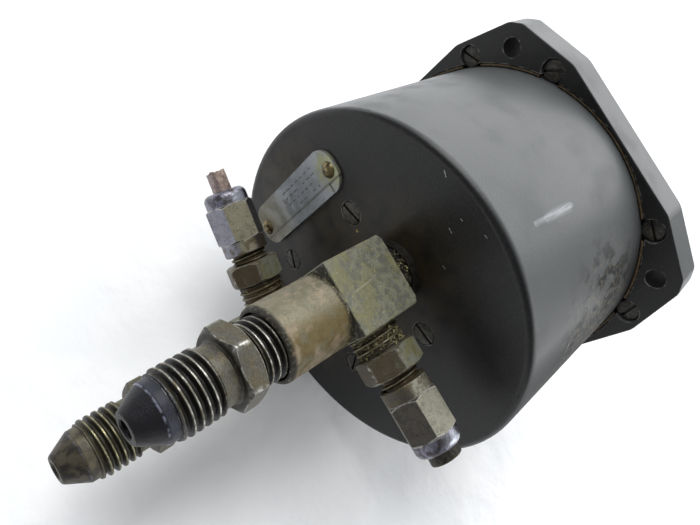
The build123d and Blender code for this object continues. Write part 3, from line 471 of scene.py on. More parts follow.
def tee_bronze(name, mouth, shift):
    """Mottled bronze that changes from square body to turned barrel along Y."""
    made = Finish(name, shift, roughness=0.55, metallic=0.25)
    along = made.axis("Y")
    is_barrel = made.ramp(along, tee_shoulder - 0.2, tee_shoulder + 0.4)
    mottle = made.clouds(1.3, 0.42, 0.6, detail=5.0)
    patch = made.clouds(4.2, 0.45, 0.62, detail=4.0, shift=2)
    grain = made.clouds(0.22, 0.35, 0.7, detail=2.0)
    made.colour = made.mix(mottle, (101, 102, 92), (122, 122, 106))
    yellow_dust = made.both(made.clouds(0.6, 0.52, 0.66, detail=3.0, shift=6), 0.55)
    made.lay((136, 132, 86), yellow_dust)
    made.lay((124, 121, 80), patch, 0.65)
    pale = made.patchy(made.specks(0.9, 0.22), 2.5, 0.45, 0.6)
    made.lay((176, 176, 166), pale, 0.45)
    dark_spots = made.specks(0.75, 0.2, 9)
    made.lay((70, 70, 64), dark_spots, 0.3)
    # Painted shade: the barrel's side facing -X and +Z is laid a darker gold.
    low_side_shade = made.turned_to((-0.75, 0.0, 0.66), 0.45, 0.9)
    square_colour = made.colour
    made.colour = made.mix(mottle, (126, 121, 101), (143, 136, 115))
    made.lay((104, 88, 48), low_side_shade, 0.9)
    blotch = made.clouds(2.6, 0.5, 0.64, detail=5.0, shift=4)
    made.lay((112, 110, 92), blotch, 0.6)
    bright_patch = made.clouds(3.4, 0.52, 0.66, detail=2.0, shift=6)
    made.lay((168, 150, 130), bright_patch, 0.5)
    made.colour = made.mix(is_barrel, square_colour, made.colour)
    made.lay((78, 76, 62), grain, 0.3)
    for start, end in tee_scratches:
        mark = made.scratch(start, end, 0.22)
        made.lay((190, 190, 180), mark, 0.2)
    worn = made.patchy(made.edges(0.5), 0.8, 0.38, 0.6)
    made.lay((176, 172, 152), worn, 0.6)
    # The black here is grime round the mouth and painted shade in the step, on the square's face towards the
    # mouth and in the corners.
    step = made.both(made.ramp(along, tee_shoulder + 1.1, tee_shoulder + 0.1), is_barrel)
    under = made.both(made.turned_to((0, 1, 0), 0.5, 0.95), made.ramp(along, tee_shoulder + 1, tee_shoulder))
    lip = made.ramp(along, mouth - 1.3, mouth - 0.45)
    grime_and_shade = made.either(made.either(step, under), lip)
    grime_and_shade = made.either(grime_and_shade, made.corners(2.2, 0.35, 0.75))
    grime_and_shade = made.patchy(grime_and_shade, 0.7, 0.22, 0.5)
    made.lay((30, 27, 22), grime_and_shade, 0.95)
    made.raise_by(grain, 0.03)
    made.raise_by(mottle, 0.035)
    made.raise_by(patch, 0.04)
    metal = made.level(made.both(is_barrel, made.inverse(grime_and_shade)), 0.15, 0.55)
    rough = made.level(made.either(grime_and_shade, mottle), 0.42, 0.66)
    return made.done(roughness=rough, metallic=metal)


tee_half = tee_side / 2
top_z = upper_port_z + tee_half
tee_scratches = [
    ((1.1, 67.2, top_z), (1.5, 62.6, top_z)),
]
dress("tee_upper", tee_bronze("tee_bronze_upper", mouth_upper, 0.0))
dress("tee_lower", tee_bronze("tee_bronze_lower", mouth_lower, 31.0))
print("tees finished, mouths at", mouth_upper, "and", mouth_lower, "mm")

# %% [markdown]
# Geometry Nodes trees are built the same way as materials. This helper makes a tree with
# named inputs, and another hangs it on an object. An input is set through the identifier of
# its socket, before the object is first evaluated. A third helper turns the evaluated result
# into a plain mesh and takes the modifier away, so nothing is left live.

# %% Geometry trees
socket_kinds = {
    float: "NodeSocketFloat",
    int: "NodeSocketInt",
    bpy.types.Material: "NodeSocketMaterial",
    bpy.types.Object: "NodeSocketObject",
}


class Grower(Wires):
    """A Geometry Nodes tree with named inputs, ending in Realize Instances and Set Material."""

    def __init__(self, name, **inputs):
        super().__init__(bpy.data.node_groups.new(name, "GeometryNodeTree"))
        self.tree.interface.new_socket("Geometry", in_out="INPUT", socket_type="NodeSocketGeometry")
        for key, kind in inputs.items():
            self.tree.interface.new_socket(key, in_out="INPUT", socket_type=socket_kinds[kind])
        self.tree.interface.new_socket("Geometry", in_out="OUTPUT", socket_type="NodeSocketGeometry")
        self.given = self.add("NodeGroupInput").outputs

    def stored(self, name):
        return self.get("GeometryNodeInputNamedAttribute", {"Name": name}, data_type="FLOAT")

    def random(self, low, high, seed):
        inputs = {2: low, 3: high, "Seed": seed}
        return self.add("FunctionNodeRandomValue", inputs, data_type="FLOAT").outputs[1]

    def joined(self, x=0.0, y=0.0, z=0.0):
        return self.get("ShaderNodeCombineXYZ", {0: x, 1: y, 2: z})

    def close(self, geometry, material):
        solid = self.get("GeometryNodeRealizeInstances", {0: geometry})
        dressed = self.get("GeometryNodeSetMaterial", {0: solid, "Material": material})
        self.feed(self.add("NodeGroupOutput").inputs[0], dressed)
        return self.tree


def grow(made, tree, **values):
    """Hangs a tree on an object and sets its named inputs."""
    modifier = made.modifiers.new(tree.name, "NODES")
    modifier.node_group = tree
    for item in tree.interface.items_tree:
        if item.in_out == "INPUT" and item.name in values:
            modifier[item.identifier] = values[item.name]
    return made


def settle(made, place=None, smooth_to=38):
    """Turns the evaluated object into a plain mesh, moves it into place and shades it."""
    graph = bpy.context.evaluated_depsgraph_get()
    graph.update()
    mesh = bpy.data.meshes.new_from_object(made.evaluated_get(graph), depsgraph=graph)
    mesh.name = made.name
    made.modifiers.clear()
    made.data = mesh
    if place is not None:
        mesh.transform(place)
    mesh.shade_smooth()
    mesh.set_sharp_from_angle(angle=math.radians(smooth_to))
    return made


def piece(made, body, slot, *replaced):
    """Says what the piece rides on and the CAD nodes it stands for. The finish slot is not used."""
    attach(made, body)
    if replaced:
        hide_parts(*replaced)
    made.data.calc_loop_triangles()
    print(made.name, "rides", body, "with", len(made.data.loop_triangles), "triangles")


print("geometry helpers ready for", len(socket_kinds), "kinds of input")

# %% [markdown]
# A real thread is a helix, and the CAD solids only have rings. Every threaded fitting is
# therefore made again as one turned skin: rows of points round the Y axis, each row with its
# radius, its height and how deep the thread is cut there. A tree then presses the helix into
# the rows. It also stores how high each point stands, so the finish can polish the crests and
# blacken the roots.

# %% Threads cut by a tree
turn_steps = 144
thread_rise = 0.12


def faced_outward(made):
    """Turns every face of a closed mesh to point outward."""
    skin = bmesh.new()
    skin.from_mesh(made.data)
    bmesh.ops.recalc_face_normals(skin, faces=skin.faces)
    skin.to_mesh(made.data)
    skin.free()
    return made


def ring_faces(low, high, steps):
    """Faces that join two rings of points, given where each ring starts."""
    around = [(step, (step + 1) % steps) for step in range(steps)]
    return [(low + step, low + ahead, high + ahead, high + step) for step, ahead in around]


def keep_numbers(made, name, values):
    """Stores a named number on each point of a mesh."""
    made.data.attributes.new(name, "FLOAT", "POINT").data.foreach_set("value", values)


def turned_skin(name, rows):
    """A closed skin of revolution about Y. Each row gives radius, height, thread share and wear."""
    points, shares, wears = [], [], []
    for row in rows:
        for step in range(turn_steps):
            angle = 2 * math.pi * step / turn_steps
            radius, y, share, *wear = row(angle) if callable(row) else row
            points.append(about_y(radius, y, angle))
            shares.append(share)
            wears.append(wear[0] if wear else 0.0)
    faces = []
    for row in range(len(rows)):
        after = (row + 1) % len(rows)
        faces += ring_faces(row * turn_steps, after * turn_steps, turn_steps)
    made = plain_mesh(name, points, faces)
    keep_numbers(made, "thread", shares)
    keep_numbers(made, "wear", wears)
    return faced_outward(made)


cut_thread = Grower("cut_thread", Pitch=float, Depth=float, Finish=bpy.types.Material)
spot = cut_thread.get("GeometryNodeInputPosition")
x, y, z = cut_thread.add("ShaderNodeSeparateXYZ", {0: spot}).outputs
angle = cut_thread.sum("ARCTAN2", z, x)
whole_turns = cut_thread.sum("DIVIDE", angle, 2 * math.pi)
climb = cut_thread.sum("DIVIDE", y, cut_thread.given["Pitch"])
phase = cut_thread.sum("FRACT", cut_thread.sum("ADD", climb, whole_turns))
from_crest = cut_thread.sum("ABSOLUTE", cut_thread.sum("MULTIPLY_ADD", phase, 2.0, -1.0))
stand = cut_thread.ramp(from_crest, 0.78, 0.14)
share = cut_thread.stored("thread")
sunk = cut_thread.sum("MULTIPLY", cut_thread.sum("SUBTRACT", stand, 1.0), share)
sunk = cut_thread.sum("MULTIPLY", sunk, cut_thread.given["Depth"])
inputs = {0: cut_thread.joined(x, 0.0, z)}
outward = cut_thread.get("ShaderNodeVectorMath", inputs, operation="NORMALIZE")
inputs = {0: cut_thread.given["Geometry"], "Offset": cut_thread.vector("SCALE", outward, sunk)}
shaped = cut_thread.get("GeometryNodeSetPosition", inputs)
store = "GeometryNodeStoreNamedAttribute"
inputs = {0: shaped, "Name": "crest", "Value": stand}
marked = cut_thread.get(store, inputs, data_type="FLOAT", domain="POINT")
cut_thread.close(marked, cut_thread.given["Finish"])
print("the thread tree has", len(cut_thread.tree.nodes), "nodes")

# %% [markdown]
# The rows themselves follow the fitting from its bore, over the inner thread, across the
# hexagon, along the outer thread and back down the bore. A hexagon row has a radius that
# depends on the angle, and its height drops at the corners just as the turning tool bevels
# them. Only the part of each thread that shows gets fine rows.

# %% Rows of a threaded fitting
corner_soft, corner_width = 0.16, 0.05
nipple_flats, adapter_flats = 13.5, 11.1


def threaded(start, end, radius, run_in=0.0, run_out=0.0):
    """Fine rows of a thread, fading in and out over the given lengths."""
    rows = []
    count = max(2, round((end - start) / thread_rise))
    for index in range(count + 1):
        y = start + (end - start) * index / count
        fade_in = min(1.0, (y - start) / run_in) if run_in else 1.0
        fade_out = min(1.0, (end - y) / run_out) if run_out else 1.0
        rows.append((radius - (1 - fade_out) * 0.35, y, min(fade_in, fade_out)))
    return rows


def smooth(*rows):
    """Rows without a thread, each given as radius and height."""
    return [(radius, y, 0.0) for radius, y in rows]


def past_corner(angle):
    """How far an angle is from the nearest corner of a hexagon with a corner on +X."""
    return (angle + math.pi / 6) % (math.pi / 3) - math.pi / 6


def hexagon_radius(flats, angle):
    """Distance from the axis to the side of a hexagon."""
    toward_side = math.pi / 6 - abs(past_corner(angle))
    sharp = flats / 2 / math.cos(toward_side)
    blunt = flats / math.sqrt(3) - corner_soft
    return min(sharp, blunt) if sharp - blunt > 0.05 else sharp - max(0.0, sharp - blunt + 0.05) ** 2 * 2.5


def hexagon(flats, front, back):
    """Rows of a hexagon whose corners are turned off at both ends."""
    side = flats / 2
    slope = math.tan(math.radians(30))

    def edge_row(end, way, inset, step, wear):
        def row(angle):
            radius = hexagon_radius(flats, angle)
            corner = math.exp(-((past_corner(angle) / corner_width) ** 2))
            return radius - inset, end + way * ((radius - side) * slope + step), 0.0, max(wear, corner)

        return row

    steps = ((0.08, 0.06, 0.25), (0.0, 0.14, 0.9), (0.0, 0.26, 0.0))
    rows = [(side - 0.35, front, 0.0), (side - 0.1, front + 0.02, 0.0)]
    rows += [edge_row(front, 1, *step) for step in steps]
    rows += [edge_row(back, -1, *step) for step in reversed(steps)]
    rows += [(side - 0.1, back - 0.02, 0.0), (side - 0.35, back, 0.0)]
    return rows


hex_rows, corner_radius = hexagon(nipple_flats, 0.0, 4.0), hexagon_radius(nipple_flats, 0.0)
print("a hexagon takes", len(hex_rows), "rows, corner at", round(corner_radius, 2), "mm")

# %% [markdown]
# The flared nipples are steel with a black oxide. Where spanners and hoses have been, the
# crests and edges shine bright, and the roots stay black. The lower nipple is caked in olive
# dirt instead. Both use one finish with the balance moved, since it is the same part with a
# different history.

# %% Oxide steel and dirt


def threaded_steel(
    name, shift, body, crest, dirt, shaded, lead_tone, nose_tone, *, cone_from, dirt_share, shine, olive
):
    """Steel whose thread crests are polished and whose hollows are dirty, with painted light and shade on
    its faces and in corners.
    """
    made = Finish(name, shift, roughness=0.4, metallic=0.75)
    thread = made.stored("thread")
    stand = made.stored("crest")
    blotch = made.clouds(1.8, 0.4, 0.62, detail=5.0)
    fine = made.clouds(0.3, 0.35, 0.7, detail=3.0)
    brushed = made.clouds(0.7, 0.4, 0.65, detail=4.0, stretch=(1, 0.15, 1))
    made.colour = made.mix(blotch, body, dirt)
    made.lay((126, 124, 112), brushed, 0.4)
    made.lay((46, 42, 34), fine, 0.35)
    specks = made.patchy(made.specks(0.55, 0.24), 1.6, 0.4, 0.6, shift=7)
    made.lay((128, 112, 70), specks, 0.75)
    root = made.both(thread, made.ramp(stand, 0.99, 0.8))
    made.lay(made.mix(dirt_share, (12, 11, 11), dirt), root, 0.95)
    top = made.both(thread, made.ramp(stand, 0.965, 0.995))
    rubbed = made.patchy(top, 1.3, 0.3, 0.7, detail=6.0, shift=2)
    made.lay(crest, rubbed)
    along = made.axis("Y")
    lead = made.mix(made.both(blotch, 0.6), lead_tone, (30, 29, 34))
    made.lay(lead, made.ramp(along, cone_from - 2.3, cone_from - 1.9))
    nose = made.mix(made.both(blotch, 0.8), nose_tone, (24, 22, 24))
    made.lay(nose, made.ramp(along, cone_from - 0.2, cone_from))
    rim_low = made.ramp(along, cone_from - 0.2, cone_from - 0.08)
    rim = made.both(rim_low, made.ramp(along, cone_from + 0.2, cone_from + 0.06))
    rim = made.patchy(rim, 0.9, 0.4, 0.6, detail=5.0, shift=9)
    made.lay((150, 154, 172), rim, 0.8 * shine)
    # Painted shade: faces turned to +Y, off the thread, take the shaded tone.
    shaded_back_faces = made.both(made.turned_to((0, 1, 0), 0.55, 0.8), made.inverse(thread))
    shaded_back_faces = made.patchy(shaded_back_faces, 1.6, 0.2, 0.45, detail=5.0, shift=3)
    made.lay(shaded, shaded_back_faces, 0.85)
    # Painted light: top faces, off the thread, take a paler tone in the share that olive gives.
    lit_top_face = made.both(made.turned_to((0, -0.25, 0.97), 0.9, 0.97), made.inverse(thread))
    lit_top_tone = made.mix(blotch, (138, 140, 124), (134, 131, 96))
    lit_top_face = made.patchy(lit_top_face, 1.4, 0.2, 0.5, detail=5.0, shift=6)
    made.lay(lit_top_tone, lit_top_face, olive)
    worn = made.either(made.edges(0.22, 0.03, 0.2), made.stored("wear"))
    worn = made.patchy(worn, 0.8, 0.4, 0.62, detail=5.0, shift=1)
    worn = made.both(worn, made.inverse(thread))
    made.lay((196, 196, 190), worn, shine)
    # Corners are darkened near black: grime and painted shade.
    grime_and_shade = made.patchy(made.corners(1.6, 0.4, 0.8), 0.8, 0.25, 0.55, shift=4)
    made.lay((22, 19, 15), grime_and_shade, 0.85)
    made.raise_by(fine, 0.02)
    made.raise_by(blotch, 0.03)
    rough = made.level(made.either(rubbed, worn), 0.46, 0.26)
    metal = made.level(made.either(rubbed, worn), 0.5, 0.95)
    return made.done(roughness=rough, metallic=metal)


nipple_steel = threaded_steel(
    "nipple_oxide", 0.0, (80, 78, 70), (178, 177, 170), (86, 78, 56), (30, 26, 20),
    (48, 50, 60), (26, 26, 32), cone_from=105.05, dirt_share=0.0, shine=0.8, olive=0.0,
)
nipple_caked = threaded_steel(
    "nipple_dirty", 40.0, (78, 74, 58), (160, 156, 122), (90, 84, 54), (50, 44, 32),
    (88, 83, 66), (76, 70, 56), cone_from=110.65, dirt_share=0.15, shine=0.3, olive=0.0,
)
print("nipple finishes:", nipple_steel.name, nipple_caked.name)

# %% [markdown]
# Each nipple screws into its tee with a short inner thread and takes a hose nut on a longer
# outer one, ending in the cone that seals the flare. The rows are written once, from the
# tee's mouth outward, and both nipples use them, because they are the same catalogue part.

# %% Flared nipples


def nipple_rows(base):
    """The nipple from its bore, out over both threads and the cone, and back."""
    bore, root, crest, collar = 1.6, 5.1, 5.9, 5.3
    hex_front, hex_back = base + 4.6, base + 8.6
    collar_back = hex_back + 3.2
    thread_back = collar_back + 7.25
    rows = smooth((bore, base - 7.0), (root, base - 7.0), (root, base - 1.2))
    rows += threaded(base - 1.1, hex_front - 0.9, crest, run_out=0.5)
    rows += smooth((root, hex_front - 0.7), (root, hex_front))
    rows += hexagon(nipple_flats, hex_front, hex_back)
    rows += smooth((collar + 0.35, hex_back), (collar, hex_back + 0.3), (collar, collar_back - 0.5))
    rows += smooth((root, collar_back - 0.15))
    rows += threaded(collar_back, thread_back, crest, run_in=0.3, run_out=0.9)
    rows += smooth((5.15, thread_back + 0.12), (5.12, thread_back + 1.6), (4.95, thread_back + 1.9))
    cone_back = thread_back + 5.8
    rows += smooth((3.3, cone_back - 1.05), (2.85, cone_back - 0.3), (2.6, cone_back - 0.05))
    rows += smooth((2.3, cone_back), (1.8, cone_back), (bore, cone_back - 0.25))
    return rows


nipple_hex_turn, lower_extra = 46.0, 1.1
nipple_pitch, nipple_cut = 1.45, 0.8
nipple_places = [
    ("upper", mouth_upper, upper_port_z, nipple_steel, "nipple_oxide"),
    ("lower", mouth_lower + lower_extra, lower_port_z, nipple_caked, "nipple_dirty"),
]
for side, base, port_z, finish, slot in nipple_places:
    made = turned_skin(f"nipple_{side}_threaded", nipple_rows(base))
    grow(made, cut_thread.tree, Pitch=nipple_pitch, Depth=nipple_cut, Finish=finish)
    turn = Matrix.Rotation(math.radians(nipple_hex_turn), 4, "Y")
    settle(made, to_metres @ Matrix.Translation((port_x, 0, port_z)) @ turn, smooth_to=26)
    piece(made, "case_body", slot, f"nipple_{side}")

# %% [markdown]
# The side branches use the same skin and the same tree: a hexagon adapter that screws into
# the tee, with a finer thread for the nut. They are drawn along Y and then swung into place,
# the upper one square to the tee and the lower one leaning down.

# %% Branch adapters
branch_y = 62.9
lower_tee_turn = 15.9
to_port = to_metres @ Matrix.Translation((port_x, branch_y, upper_port_z))
to_upper_branch = to_port @ Matrix.Rotation(math.radians(90), 4, "Z")
to_port = to_metres @ Matrix.Translation((port_x, branch_y, lower_port_z))
swing = Matrix.Rotation(math.radians(-lower_tee_turn), 4, "Y")
to_lower_branch = to_port @ swing @ Matrix.Rotation(math.radians(-90), 4, "Z")


def adapter_rows(neck):
    """The adapter from its bore, over its neck thread, hexagon and nut thread, and back."""
    bore, face = 1.2, tee_half
    hex_front = face + neck
    hex_back = hex_front + 4.8
    end = hex_back + 7.4
    rows = smooth((bore, 3.7), (4.4, 3.7), (4.4, face - 0.8))
    rows += threaded(face - 0.7, hex_front - 0.4, 5.0, run_out=0.4)
    rows += smooth((4.4, hex_front - 0.25), (4.4, hex_front))
    rows += hexagon(adapter_flats, hex_front, hex_back)
    rows += smooth((3.4, hex_back))
    rows += threaded(hex_back + 0.3, end - 0.2, 4.0, run_in=0.3, run_out=0.5)
    rows += smooth((3.3, end), (bore, end))
    return rows


adapter_pitch, adapter_cut = 1.25, 0.6
no_cone = 900.0
adapter_dirt = threaded_steel(
    "adapter_dirty", 12.0, (102, 102, 86), (132, 126, 96), (92, 78, 52), (66, 54, 36),
    (90, 86, 64), (90, 86, 64), cone_from=no_cone, dirt_share=0.7, shine=0.4, olive=0.9,
)
adapters = [("upper", 4.4, 47.0, to_upper_branch), ("lower", 6.6, 8.0, to_lower_branch)]
for side, neck, turned, place in adapters:
    made = turned_skin(f"branch_adapter_{side}_threaded", adapter_rows(neck))
    grow(made, cut_thread.tree, Pitch=adapter_pitch, Depth=adapter_cut, Finish=adapter_dirt)
    settle(made, place @ Matrix.Rotation(math.radians(turned), 4, "Y"), smooth_to=26)
    piece(made, "case_body", "adapter_dirty", f"branch_adapter_{side}")

# %% [markdown]
# The union nuts are the most handled pieces. Their sides get painted light and shade: dark
# purple brown where a side is shaded, pale and speckled where it is lit. The hexagon's edges
# are bright, and the round ends are blued lilac with a painted highlight on one side. The
# colours follow the direction each face looks, read from the piece's own normals, so they
# turn with the nut.

# %% Nuts, plug and tube


def worn_nut(name, sides, end_from, end_centre, end_way, shift):
    """A plated nut whose sides, given as direction and tone, take painted light and shade, with a blued
    round end and a painted highlight on it.
    """
    made = Finish(name, shift, roughness=0.4, metallic=0.7)
    speckle = made.clouds(0.35, 0.38, 0.62, detail=4.0)
    blotch = made.clouds(1.5, 0.42, 0.6, detail=5.0, shift=1)
    made.colour = made.mix(blotch, (82, 78, 68), (100, 94, 80))
    # Painted light and shade: each side, found by the way it faces, takes its own tone, pale where lit and
    # dark where shaded, with speckles over it.
    for way, tone in sides:
        darker = tuple(v * 0.62 for v in linear(*tone)[:3]) + (1.0,)
        side_light_and_shade = made.mix(made.both(made.both(speckle, blotch), 0.9), tone, darker)
        side_specks = made.both(made.specks(0.5, 0.26, 4), 0.55)
        side_light_and_shade = made.mix(side_specks, side_light_and_shade, (52, 48, 42))
        made.lay(side_light_and_shade, made.turned_to(way, 0.8, 0.93))
    along = made.vector("DOT_PRODUCT", made.vector("SUBTRACT", made.place, end_centre), end_way, "Value")
    blued = made.ramp(along, end_from - 0.2, end_from + 0.3)
    gleam = made.mix(blotch, (124, 124, 140), (70, 66, 74))
    made.lay(gleam, blued, 0.8)
    lit = made.both(made.both(blued, made.turned_to((-0.34, -0.1, 0.94), 0.9, 0.99)), 0.9)
    made.lay((214, 220, 234), lit)
    collar = made.ramp(along, end_from - 8.0, end_from - 8.5)
    made.lay((92, 82, 56), made.both(collar, blotch), 0.7)
    made.lay((44, 38, 32), made.specks(0.6, 0.2), 0.6)
    worn = made.patchy(made.edges(0.4, 0.02, 0.11), 0.9, 0.3, 0.5, shift=5)
    made.lay((228, 226, 220), worn, 0.9)
    # Corners are darkened: grime and painted shade.
    grime_and_shade = made.patchy(made.corners(1.4, 0.35, 0.75), 0.8, 0.25, 0.5)
    made.lay((24, 20, 17), grime_and_shade, 0.85)
    made.raise_by(speckle, 0.025)
    made.raise_by(blotch, 0.02)
    rough = made.level(made.either(worn, blued), 0.48, 0.24)
    return made.done(roughness=rough)


def branch_point(place, along):
    """A place on a branch's axis, in millimetres."""
    return (place @ Vector((0, along, 0))) / MM


def branch_way(place):
    """The direction in which a branch points."""
    return (place.to_3x3() @ Vector((0, 1, 0))).normalized()


cap_nut_finish = worn_nut(
    "nut_worn_cap", [((0.0, -0.05, 1.0), (150, 149, 134)), ((0.0, 0.92, 0.4), (76, 72, 66))],
    29.8, branch_point(to_upper_branch, 0), branch_way(to_upper_branch), 3.0,
)
tube_nut_finish = worn_nut(
    "nut_worn_tube", [
        ((-0.26, 0.28, 0.92), (146, 142, 122)),
        ((-0.07, 0.97, 0.23), (136, 136, 146)),
        ((-0.23, -0.52, 0.82), (70, 68, 70)),
    ],
    32.0, branch_point(to_lower_branch, 0), branch_way(to_lower_branch), 23.0,
)
dress("cap_nut_upper", cap_nut_finish)
dress("tube_nut_lower", tube_nut_finish)

dark_plug = Finish("plug_dark", roughness=0.5, metallic=0.4)
plug_spots = dark_plug.clouds(0.7, 0.4, 0.6, detail=4.0)
rim = dark_plug.patchy(dark_plug.edges(0.5), 0.6, 0.3, 0.6, shift=3)
dark_plug.colour = dark_plug.mix(plug_spots, (30, 28, 24), (52, 48, 36))
dark_plug.raise_by(plug_spots, 0.04)
dark_plug.lay((128, 124, 92), rim)
dress("blanking_plug", dark_plug.done())
print("nuts and plug finished")

# %% [markdown]
# The copper tube was snapped off by bending, which leaves a ragged rim with one deep notch on
# the side that tore last. A solid with a clean cut would look sawn, so its wall is made here
# as rows of points whose top row follows a torn line of mixed waves.

# %% Snapped tube
tube_foot, tube_top = 22.0, 39.75
tube_outer, tube_inner = 2.1, 1.3
tube_steps, tube_rings = 72, 26


def torn_height(angle):
    """Height of the torn rim round the tube."""
    wave = 0.16 * math.sin(3 * angle + 0.6) + 0.1 * math.sin(7 * angle + 2.1) + 0.07 * math.sin(17 * angle)
    notch = 0.75 * math.exp(-(((angle - 4.1) / 0.22) ** 2))
    return tube_top + wave - 0.25 - notch


def tube_mesh():
    """The tube's wall, closed from its foot to the torn rim."""
    points = []
    for inside in (False, True):
        for ring in range(tube_rings + 1):
            share = ring / tube_rings
            for step in range(tube_steps):
                angle = 2 * math.pi * step / tube_steps
                y = tube_foot + (torn_height(angle) - tube_foot) * share
                bent = min(1.0, max(0.0, (y - 35.4) / 1.5))
                dent = 0.07 * noise.noise((math.cos(angle), y * 0.4, math.sin(angle))) * bent
                flare = 0.09 * max(0.0, share - 0.9) * 10
                radius = (tube_inner - flare * 0.4 if inside else tube_outer - flare * 0.3) + dent
                points.append(about_y(radius, y, angle))
    rings = (tube_rings + 1) * tube_steps
    faces = []
    for layer in (0, rings):
        for ring in range(tube_rings):
            low = layer + ring * tube_steps
            faces += ring_faces(low, low + tube_steps, tube_steps)
    for low in (0, tube_rings * tube_steps):
        faces += ring_faces(low, rings + low, tube_steps)
    return faced_outward(plain_mesh("tube_stub_torn", points, faces))


copper = Finish("copper", roughness=0.42, metallic=0.7)
tarnish = copper.clouds(1.1, 0.4, 0.6, detail=5.0)
stain = copper.clouds(0.5, 0.45, 0.62, detail=3.0, shift=6)
copper.colour = copper.mix(tarnish, (188, 170, 156), (150, 132, 122))
copper.lay((96, 82, 92), stain, 0.25)
# Painted shade: the side facing +Y is laid a darker lilac.
lilac = copper.turned_to((0.0, 0.9, 0.1), 0.5, 0.95)
copper.lay((104, 94, 108), lilac, 0.5)
bright_rim = copper.edges(0.2)
copper.lay((226, 190, 160), bright_rim, 0.6)
copper.raise_by(stain, 0.03)
tube = tube_mesh()
tube.data.materials.append(copper.done())
settle(tube, to_lower_branch)
piece(tube, "tube_stub", "copper", "tube_stub")

# %% [markdown]
# Twelve slotted screws show: eight hold the barrel in the flange and four hold the socket
# block, sunk flush in the rear wall. They are the same few forms turned to different angles,
# which is just what Geometry Nodes does best: one head on a list of points, each with its own
# slot angle. The head is a short cylinder with its slot cut by a Boolean, and every edge is
# rounded by a Bevel.

# %% Slotted screws
slot_steps = 64


def screw_head(name, radius, rise, slot_width, slot_depth):
    """A slotted head with its top at height 0 and its axis along Y."""
    skin = bmesh.new()
    upright = Matrix.Rotation(math.radians(-90), 4, "X")
    place = Matrix.Translation((0, -rise / 2, 0)) @ upright
    bmesh.ops.create_cone(
        skin, cap_ends=True, segments=slot_steps, radius1=radius, radius2=radius, depth=rise, matrix=place
    )
    made = plain_mesh(name, [], [])
    skin.to_mesh(made.data)
    skin.clear()
    bmesh.ops.create_cube(skin, size=1.0)
    bmesh.ops.scale(skin, vec=(4 * radius, 2 * slot_depth, slot_width), verts=skin.verts)
    cutter = plain_mesh(name + "_cutter", [], [])
    skin.to_mesh(cutter.data)
    skin.free()
    cut = made.modifiers.new("slot", "BOOLEAN")
    cut.operation = "DIFFERENCE"
    cut.object = cutter
    cut.solver = "EXACT"
    soft = made.modifiers.new("soft", "BEVEL")
    soft.width = 0.09
    soft.segments = 2
    soft.limit_method = "ANGLE"
    soft.angle_limit = math.radians(40)
    settle(made)
    bpy.data.objects.remove(cutter)
    return made


screw_set = Grower("screw_set", Head=bpy.types.Object, Finish=bpy.types.Material)
head_shape = screw_set.add("GeometryNodeObjectInfo", {0: screw_set.given["Head"]}).outputs["Geometry"]
slot_turn = screw_set.joined(0.0, screw_set.stored("slot_angle"), 0.0)
rotation = screw_set.get("FunctionNodeEulerToRotation", {0: slot_turn})
inputs = {"Points": screw_set.given["Geometry"], "Instance": head_shape, "Rotation": rotation}
screws = screw_set.get("GeometryNodeInstanceOnPoints", inputs)
screw_set.close(screws, screw_set.given["Finish"])


def screw_black(name, shift, rubbed=0.55):
    """Blackened steel, dusty, with slot edges rubbed to grey metal."""
    made = Finish(name, shift, roughness=0.5, metallic=0.3)
    dust = made.clouds(0.9, 0.4, 0.65, detail=4.0)
    made.colour = made.mix(dust, (40, 39, 37), (72, 68, 57))
    worn = made.patchy(made.edges(0.25), 0.7, 0.4, 0.6)
    made.lay((120, 118, 108), worn, rubbed)
    # Painted shade: corners and the slot are laid near black.
    made.lay((12, 11, 10), made.corners(0.8, 0.35, 0.7), 0.9)
    made.raise_by(dust, 0.02)
    return made.done()


def screw_row(name, places, head, finish, replaced):
    """Screws at (x, y, z, slot angle) places in millimetres, as one piece."""
    made = plain_mesh(name, [place[:3] for place in places], [])
    angles = [-math.radians(place[3]) for place in places]
    keep_numbers(made, "slot_angle", angles)
    grow(made, screw_set.tree, Head=head, Finish=finish)
    settle(made, to_metres)
    piece(made, "case_body", "screw_black", replaced)
    bpy.data.objects.remove(head)


flange_screw_circle, flange_head_top = 42.2, -0.8
flange_screw_angles = (30, 60, 120, 150, 210, 240, 300, 330)
flange_slot_angles = (157, 126, 20, 75, 110, 50, 165, 128)
flange_places = []
for spin, slot in zip(flange_screw_angles, flange_slot_angles):
    across, up = (flange_screw_circle * f(math.radians(spin)) for f in (math.cos, math.sin))
    flange_places.append((across, flange_head_top, up, slot))
block_x, block_z, screw_x, screw_z = 1.0, -3.4, 14.4, 13.2
socket_places = []
for (x_way, z_way), slot in zip([(1, 1), (1, -1), (-1, 1), (-1, -1)], (165, 31, 170, 60)):
    socket_places.append((block_x + x_way * screw_x, barrel_length, block_z + z_way * screw_z, slot))
head = screw_head("flange_head", 2.52, 1.7, 0.62, 0.8)
front_black = screw_black("screw_black_flange", 0.0)
screw_row("flange_screws_slotted", flange_places, head, front_black, "flange_screws")
head = screw_head("socket_head", 2.42, 1.55, 0.6, 0.75)
rear_black = screw_black("screw_black_rear", 8.0, 0.1)
screw_row("socket_screws_slotted", socket_places, head, rear_black, "socket_screws")

# %% [markdown]
# Where the barrel enters the flange a thin bead of brown sealing compound was wiped in by
# hand, and it shows as an uneven line between the screw heads. A path with a small lumpy
# section is the natural way: Curve to Mesh sweeps a ring along the arc, and noise swells it.

# %% Sealing compound
seal_circle, seal_height = 40.1, -0.42


